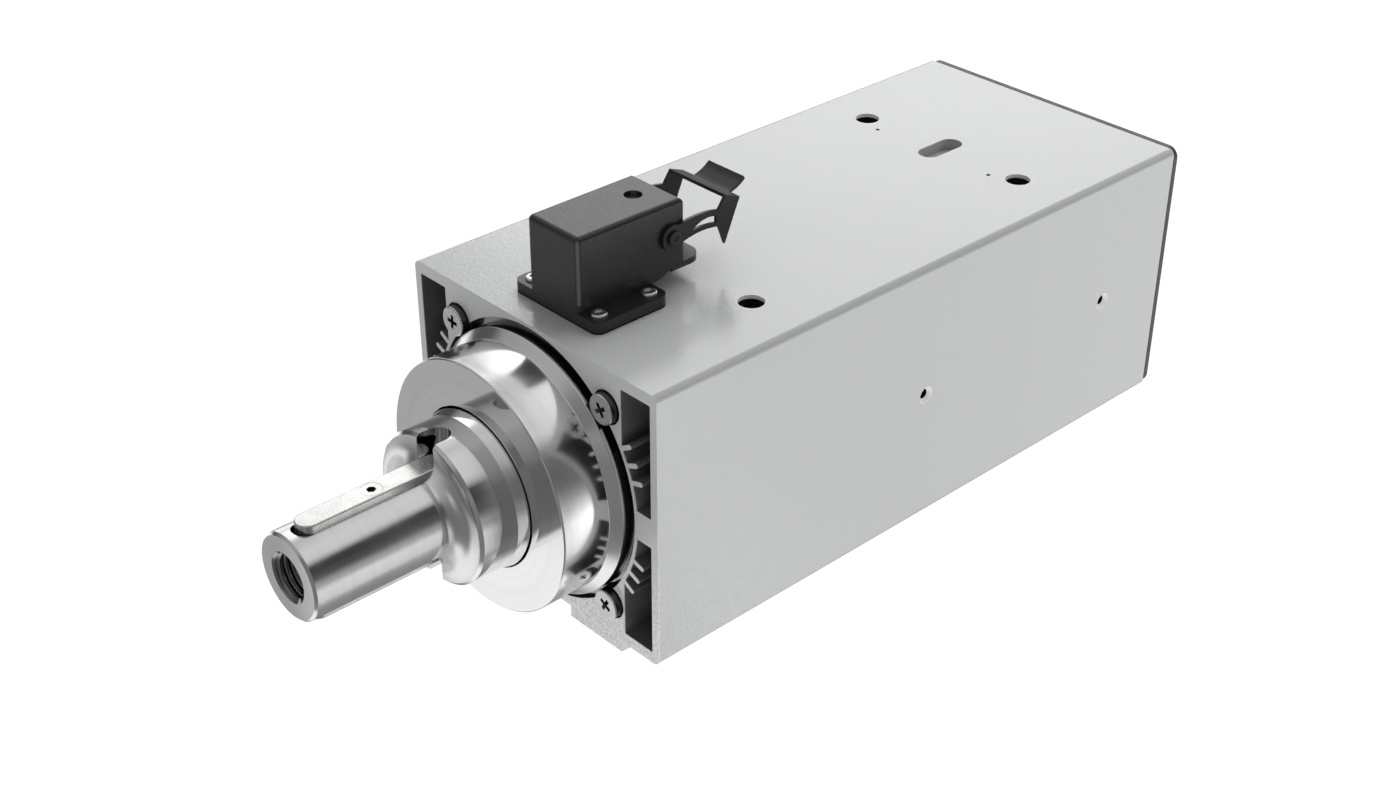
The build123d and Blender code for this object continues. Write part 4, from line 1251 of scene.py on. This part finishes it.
@dataclass
class FrontEnd(SubAssembly):
    """The turned front bearing housing with its screws, washers and retainer."""

    dressings: tuple[Dressing, ...] = (
        Dressing("front_bearing_housing", Palette.TURNED, 0.0002),
        Dressing("front_flange_washers", Palette.OXIDE, 0.00015),
        Dressing("bearing_retainer", Palette.TURNED),
        Dressing("retainer_screws", Palette.SCREW),
    )
    crease: float = 12.0
    screw: Screw = Screw(
        head_radius=0.0062,
        head_height=0.0041,
        rounding=0.0007,
        shank_radius=0.0030,
        shank_length=0.0350,
        drive=Drive.CROSS,
        drive_radius=0.0032,
        drive_depth=0.0024,
        # The flange screws' head sides are dark steel, a painted shade
        sides=Palette.OXIDE,
    )
    screw_middle: Triple = (0.0, -0.0984, AXIS_HEIGHT)
    screw_reach: Triple = (0.04398, 0.0, 0.04398)

    def fasten(self) -> None:
        """Sets in the four flange screws."""
        seats = four_seats(self.screw_middle, self.screw_reach, (0.0, -1.0, 0.0))
        set_in(self.screw.model(), "front_flange_screws", Palette.SCREW, seats)


@dataclass
class KeyedSpindle(SubAssembly):
    """The shaft with its keys, nut and circlips."""

    dressings: tuple[Dressing, ...] = (
        Dressing("spindle_shaft", Palette.TURNED, 0.0002),
        Dressing("shaft_keys", Palette.SCREW, 0.0002),
        Dressing("lock_washer", Palette.SCREW),
        Dressing("lock_nut", Palette.TURNED),
        Dressing("shaft_circlips", Palette.SCREW),
    )
    crease: float = 12.0
    screw: Screw = Screw(
        head_radius=0.00415,
        head_height=0.00215,
        rounding=0.0,
        shank_radius=0.0020,
        shank_length=0.01185,
        drive=Drive.HEXAGON,
        drive_radius=0.0019,
        drive_depth=0.0020,
        countersunk=True,
    )
    screw_place: Zone = (-0.1736, 0.0183)
    tap: ThreadTap = ThreadTap()

    def machine(self, piece: bpy.types.Object, node: str) -> None:
        """Taps the nose's bore."""
        if node == "spindle_shaft":
            carve(piece, self.tap.model())

    def fasten(self) -> None:
        """Sets a countersunk screw in each key."""
        along, reach = self.screw_place
        ways = (Vector((0.0, 0.0, 1.0)), Vector((0.0, 0.0, -1.0)))
        seats = [(Vector((0.0, along, AXIS_HEIGHT)) + reach * way, way) for way in ways]
        set_in(self.screw.model(), "key_screws", Palette.SCREW, seats)


@dataclass
class BallBearings(SubAssembly):
    """The front pair and the rear bearing."""

    dressings: tuple[Dressing, ...] = (
        Dressing("front_bearing_outer_rings", Palette.GROUND),
        Dressing("front_bearing_inner_rings", Palette.GROUND),
        Dressing("front_balls", Palette.GROUND),
        Dressing("front_ball_cages", Palette.BRASS),
        Dressing("rear_bearing_outer_ring", Palette.GROUND),
        Dressing("rear_bearing_inner_ring", Palette.GROUND),
        Dressing("rear_balls", Palette.GROUND),
        Dressing("rear_ball_cage", Palette.BRASS),
    )


@dataclass
class MotorCore(SubAssembly):
    """The stator, its winding and leads, and the cage rotor."""

    dressings: tuple[Dressing, ...] = (
        Dressing("stator_core", Palette.STACK),
        Dressing("winding", Palette.WIRE),
        Dressing("motor_leads", Palette.SLEEVE),
        Dressing("rotor_core", Palette.STACK),
        Dressing("rotor_end_rings", Palette.CAST),
    )


@dataclass
class RearEnd(SubAssembly):
    """The rear bearing shield, the fan and the grilled cover."""

    dressings: tuple[Dressing, ...] = (
        Dressing("rear_bearing_shield", Palette.CAST),
        Dressing("rear_shield_screws", Palette.SCREW),
        Dressing("preload_spring", Palette.GROUND),
        Dressing("cooling_fan", Palette.FAN, 0.0003),
        Dressing("rear_gasket", Palette.GASKET),
        Dressing("rear_cover", Palette.COVER, 0.0003),
    )
    screw: Screw = Screw(
        head_radius=0.0044,
        head_height=0.0026,
        rounding=0.0008,
        shank_radius=0.0025,
        shank_length=0.0140,
        drive=Drive.HEXAGON,
        drive_radius=0.0025,
        drive_depth=0.0013,
    )
    screw_middle: Triple = (0.0, 0.2087, AXIS_HEIGHT)
    screw_reach: Triple = (0.04598, 0.0, 0.0530)

    def fasten(self) -> None:
        """Sets in the four cover screws."""
        seats = four_seats(self.screw_middle, self.screw_reach, (0.0, 1.0, 0.0))
        set_in(self.screw.model(), "rear_cover_screws", Palette.SCREW, seats)


@dataclass
class RoofConnector(SubAssembly):
    """The angled power connector on the roof."""

    dressings: tuple[Dressing, ...] = (
        Dressing("connector_gasket", Palette.GASKET),
        Dressing("connector_housing", Palette.CONNECTOR, 0.0006),
        Dressing("contact_insert", Palette.INSERT),
        Dressing("contact_pins", Palette.PLATING, 0.0002),
    )
    screw: Screw = Screw(
        head_radius=0.0033,
        head_height=0.0012,
        rounding=0.0010,
        shank_radius=0.0019,
        shank_length=0.0120,
        drive=Drive.HEXAGON,
        drive_radius=0.0019,
        drive_depth=0.0006,
        socket=Palette.SCREW,
    )
    screw_middle: Triple = (0.0, -0.0687, 0.1302)
    screw_reach: Triple = (0.0191, 0.0122, 0.0)

    def fasten(self) -> None:
        """Sets in the four base screws."""
        seats = four_seats(self.screw_middle, self.screw_reach, (0.0, 0.0, 1.0))
        set_in(self.screw.model(), "connector_screws", Palette.SCREW, seats)


@dataclass
class LockingLever(SubAssembly):
    """The lever that holds a plug in the connector, and its pins."""

    dressings: tuple[Dressing, ...] = (Dressing("locking_lever", Palette.LEVER, 0.0002),)
    rivet: Rivet = Rivet()
    head_place: Triple = (0.01645, -0.0409, 0.1468)

    def fasten(self) -> None:
        """Sets in the two pins that the lever swings on."""
        across, along, height = self.head_place
        seats = [(Vector((side * across, along, height)), Vector((side, 0.0, 0.0))) for side in (-1.0, 1.0)]
        set_in(self.rivet.model(), "lever_pins", Palette.LEVER, seats)


@dataclass(frozen=True)
class Panel:
    """A soft-edged patch of what polished faces mirror.

    Its light is a strength or a row of marks. Each pair on an axis says where the patch begins and is full.
    """

    light: float | Marks
    x: Marks = ()
    y: Marks = ()
    z: Marks = ()

    def mask(self, made: Recipe, way: tuple[Socket, Socket, Socket]) -> Socket:
        """Gives 1 in the patch and 0 away from it.

        Args:
            made: The recipe to add to.
            way: The direction's three parts.

        Returns:
            The mask.
        """
        edges = zip(way, (self.x, self.y, self.z))
        return made.all_of(*(made.ramp(part, *pair) for part, pairs in edges for pair in pairs))


@dataclass
class Surroundings:
    """What polished faces mirror: bright panels and dark gaps in a grey room, all out of the camera's sight.

    The rows behind the motor run by the angle about the shaft, in degrees, and those ahead of it by height.
    """

    size: float = 5.0
    peak: float = 3.0
    behind: Marks = (
        (-180.0, 0.20), (-166.0, 0.20), (-140.0, 0.34), (-120.0, 0.44), (-100.0, 0.46), (-80.0, 0.52),
        (-66.0, 0.70), (-54.0, 1.30), (-24.0, 1.50), (-13.0, 0.85), (-2.0, 0.32), (9.0, 0.10),
        (30.0, 0.05), (42.0, 0.06), (50.0, 0.50), (58.0, 0.74), (90.0, 0.78), (104.0, 0.66),
        (116.0, 0.80), (124.0, 1.90), (156.0, 1.90), (167.0, 0.40), (180.0, 0.20),
    )
    nose_dimming: Panel = Panel(0.58, y=((0.495, 0.475),), z=((-0.05, -0.15),))
    boss_boost: Panel = Panel(1.80, y=((0.494, 0.500), (0.570, 0.555)))
    collar: Panel = Panel(
        (
            (-180.0, 1.20), (-168.0, 0.90), (-150.0, 0.30), (-100.0, 0.40), (-90.0, 1.20), (-74.0, 1.20),
            (-64.0, 0.26), (-45.0, 0.20), (9.0, 0.19), (30.0, 0.24), (53.0, 0.40), (80.0, 0.48),
            (140.0, 0.48), (160.0, 0.60), (172.0, 1.20), (180.0, 1.20),
        ),
        y=((0.455, 0.460), (0.499, 0.495)),
    )
    over_the_roof: Panel = Panel(2.60, x=((-0.40, -0.50),), y=((0.575, 0.600),), z=((0.30, 0.38),))
    ahead: Marks = (
        (-1.0, 1.10), (-0.575, 1.10), (-0.562, 0.95), (-0.548, 0.46), (-0.515, 0.47),
        (-0.35, 0.44), (-0.10, 0.34), (0.20, 0.20), (0.50, 0.40), (1.0, 0.60),
    )
    nose_face: Panel = Panel(0.40, x=((-0.60, -0.64),), y=((-0.46, -0.43),))
    far_left: Panel = Panel(0.10, x=((-0.82, -0.92),), z=((-0.45, -0.35),))
    right: Panel = Panel(
        (
            (-1.0, 1.20), (-0.92, 1.10), (-0.83, 0.28), (-0.60, 0.20),
            (0.10, 0.18), (0.45, 0.20), (0.69, 0.34), (1.0, 0.50),
        ),
        x=((-0.10, 0.10),),
    )
    front: Panel = Panel(
        ((-1.0, 0.25), (-0.50, 0.22), (0.05, 0.22), (0.20, 0.30), (0.36, 0.55), (0.50, 1.05), (1.0, 1.0)),
        x=((0.34, 0.54),),
        y=((-0.58, -0.70),),
    )
    turn: Zone = (-0.14, 0.12)
    left: Panel = Panel(1.20, x=((-0.66, -0.78),), y=((0.32, 0.24), (-0.35, -0.25)), z=((0.0, -0.12),))
    flare: Panel = Panel(0.45, x=((0.20, 0.0),), y=((0.37, 0.31), (0.08, 0.20)), z=((0.18, 0.28),))
    beside: Panel = Panel(1.20, x=((-0.87, -0.93),), y=((0.08, 0.16), (0.44, 0.38)))

    def shade(self) -> bpy.types.Material:
        """Paints the surroundings by direction.

        Returns:
            The glowing material.
        """
        made = Recipe("surroundings")
        outward = made.add("ShaderNodeVectorMath", operation="NORMALIZE")
        made.put(outward.inputs[0], made.place)
        way = made.parts(outward.outputs[0])
        x, y, z = way
        angle = made.sum("MULTIPLY", made.sum("ARCTAN2", z, x), 180.0 / math.pi)
        behind = self.lit(made, angle, self.behind)
        for panel in (self.nose_dimming, self.boss_boost):
            share = made.ramp(panel.mask(made, way), 0.0, 1.0, 1.0, panel.light)
            behind = made.sum("MULTIPLY", behind, share)
        for panel in (self.collar, self.over_the_roof):
            behind = made.blend(panel.mask(made, way), behind, self.lit(made, angle, panel.light))
        ahead = self.lit(made, z, self.ahead)
        for panel in (self.nose_face, self.far_left, self.right, self.front):
            ahead = made.blend(panel.mask(made, way), ahead, self.lit(made, z, panel.light))
        glow = made.blend(made.ramp(y, *self.turn), ahead, behind)
        for panel in (self.left, self.flare, self.beside):
            glow = made.blend(panel.mask(made, way), glow, self.lit(made, z, panel.light))
        lamp = made.add("ShaderNodeEmission")
        made.put(lamp.inputs["Strength"], made.sum("MULTIPLY", glow, self.peak))
        made.put(made.tree.nodes["Material Output"].inputs["Surface"], lamp.outputs[0])
        made.tree.nodes.remove(made.shader)
        return made.material

    def lit(self, made: Recipe, value: Socket, light: float | Marks) -> object:
        """Gives a light as a share of the peak.

        Args:
            made: The recipe to add to.
            value: What a row of marks is read by.
            light: A strength or a row of marks.

        Returns:
            The share.
        """
        if isinstance(light, tuple):
            return made.stops(value, tuple((place, strength / self.peak) for place, strength in light))
        return light / self.peak

    def build(self) -> None:
        """Hangs the surroundings round the motor, where only mirrored rays meet them."""
        deselect()
        bpy.ops.mesh.primitive_ico_sphere_add(subdivisions=5, radius=self.size, location=(0.0, 0.0, 0.0))
        dome = bpy.context.object
        dome.name = "studio_surroundings"
        dome.visible_camera = dome.visible_diffuse = dome.visible_transmission = False
        dome.visible_shadow = dome.visible_volume_scatter = False
        dome.data.materials.append(self.shade())


@dataclass(frozen=True)
class SoftBox:
    """A square soft box: where it hangs, the point it faces, its width in metres and its power in watts."""

    name: str
    place: Triple
    aim: Triple
    size: float
    power: float

    def hang(self) -> None:
        """Hangs the soft box, unseen in mirrored faces."""
        lamp = bpy.data.lights.new(self.name, "AREA")
        lamp.size = self.size
        lamp.energy = self.power
        holder = bpy.data.objects.new(self.name, lamp)
        holder.visible_glossy = False
        holder.location = self.place
        holder.rotation_euler = (Vector(self.aim) - Vector(self.place)).to_track_quat("-Z", "Y").to_euler()
        bpy.context.scene.collection.objects.link(holder)


@dataclass
class Studio:
    """A white floor, soft lights and the photograph's camera."""

    camera_place: Triple = (0.5131, -0.4928, 0.4902)
    camera_angles: Triple = (46.854, 31.543, 0.242)
    lens: float = 51.3
    floor_size: float = 12.0
    floor_drop: float = 0.0005
    floor_glow: float = 0.96
    air_glow: float = 0.36
    boxes: tuple[SoftBox, ...] = (
        SoftBox("overhead", (-0.35, 0.80, 1.35), (0.0, 0.10, 0.10), 1.1, 11.0),
        SoftBox("right", (0.95, 0.90, 0.50), (0.0, 0.15, 0.06), 0.6, 2.3),
    )

    def build(self) -> None:
        """Builds the whole studio."""
        self.place_camera()
        self.lay_floor()
        self.light()
        Surroundings().build()

    def lay_floor(self) -> None:
        """Lays a large pale floor."""
        deselect()
        bpy.ops.mesh.primitive_plane_add(size=self.floor_size, location=(0.0, 0.0, -self.floor_drop))
        floor = bpy.context.object
        floor.name = "studio_floor"
        made = Recipe("floor_paper")
        paper = made.tint(made.noise(0.4, 2.0), (0.10, 0.10, 0.10), (0.12, 0.12, 0.12))
        made.put(made.shader.inputs["Emission Color"], (1.0, 1.0, 1.0))
        made.put(made.shader.inputs["Emission Strength"], self.floor_glow)
        floor.data.materials.append(made.finish(paper, 0.9, 0.0))
        floor.visible_glossy = False

    def light(self) -> None:
        """Sets the surrounding light and the soft boxes."""
        world = bpy.data.worlds.new("studio_air")
        world.use_nodes = True
        air = world.node_tree.nodes["Background"]
        air.inputs["Color"].default_value = (1.0, 1.0, 1.0, 1.0)
        air.inputs["Strength"].default_value = self.air_glow
        bpy.context.scene.world = world
        for box in self.boxes:
            box.hang()

    def place_camera(self) -> None:
        """Sets the camera that was fitted to the photograph, by its turn, tilt and roll."""
        turn, tilt, roll = (math.radians(angle) for angle in self.camera_angles)
        back = Vector((math.sin(turn) * math.cos(tilt), -math.cos(turn) * math.cos(tilt), math.sin(tilt)))
        level = Vector((math.cos(turn), math.sin(turn), 0.0))
        upward = back.cross(level)
        right = math.cos(roll) * level + math.sin(roll) * upward
        top = -math.sin(roll) * level + math.cos(roll) * upward
        lens = bpy.data.cameras.new("photograph")
        lens.lens = self.lens
        lens.sensor_width = 36.0
        lens.clip_start = 0.01
        camera = bpy.data.objects.new("photograph", lens)
        turned = Matrix((right, top, back)).transposed().to_4x4()
        camera.matrix_world = Matrix.Translation(self.camera_place) @ turned
        bpy.context.scene.collection.objects.link(camera)
        bpy.context.scene.camera = camera
        bpy.context.scene.view_settings.view_transform = "Standard"


def main() -> None:
    """Builds the studio and every sub-assembly."""
    logging.basicConfig(level=logging.INFO, format="%(message)s")
    Studio().build()
    outer = (ExtrudedHousing, FrontEnd, KeyedSpindle)
    inner = (BallBearings, MotorCore)
    for maker in (*outer, *inner, RearEnd, RoofConnector, LockingLever):
        LOG.info("%s", maker.__name__)
        maker().dress()


if __name__ == "__main__":
    main()
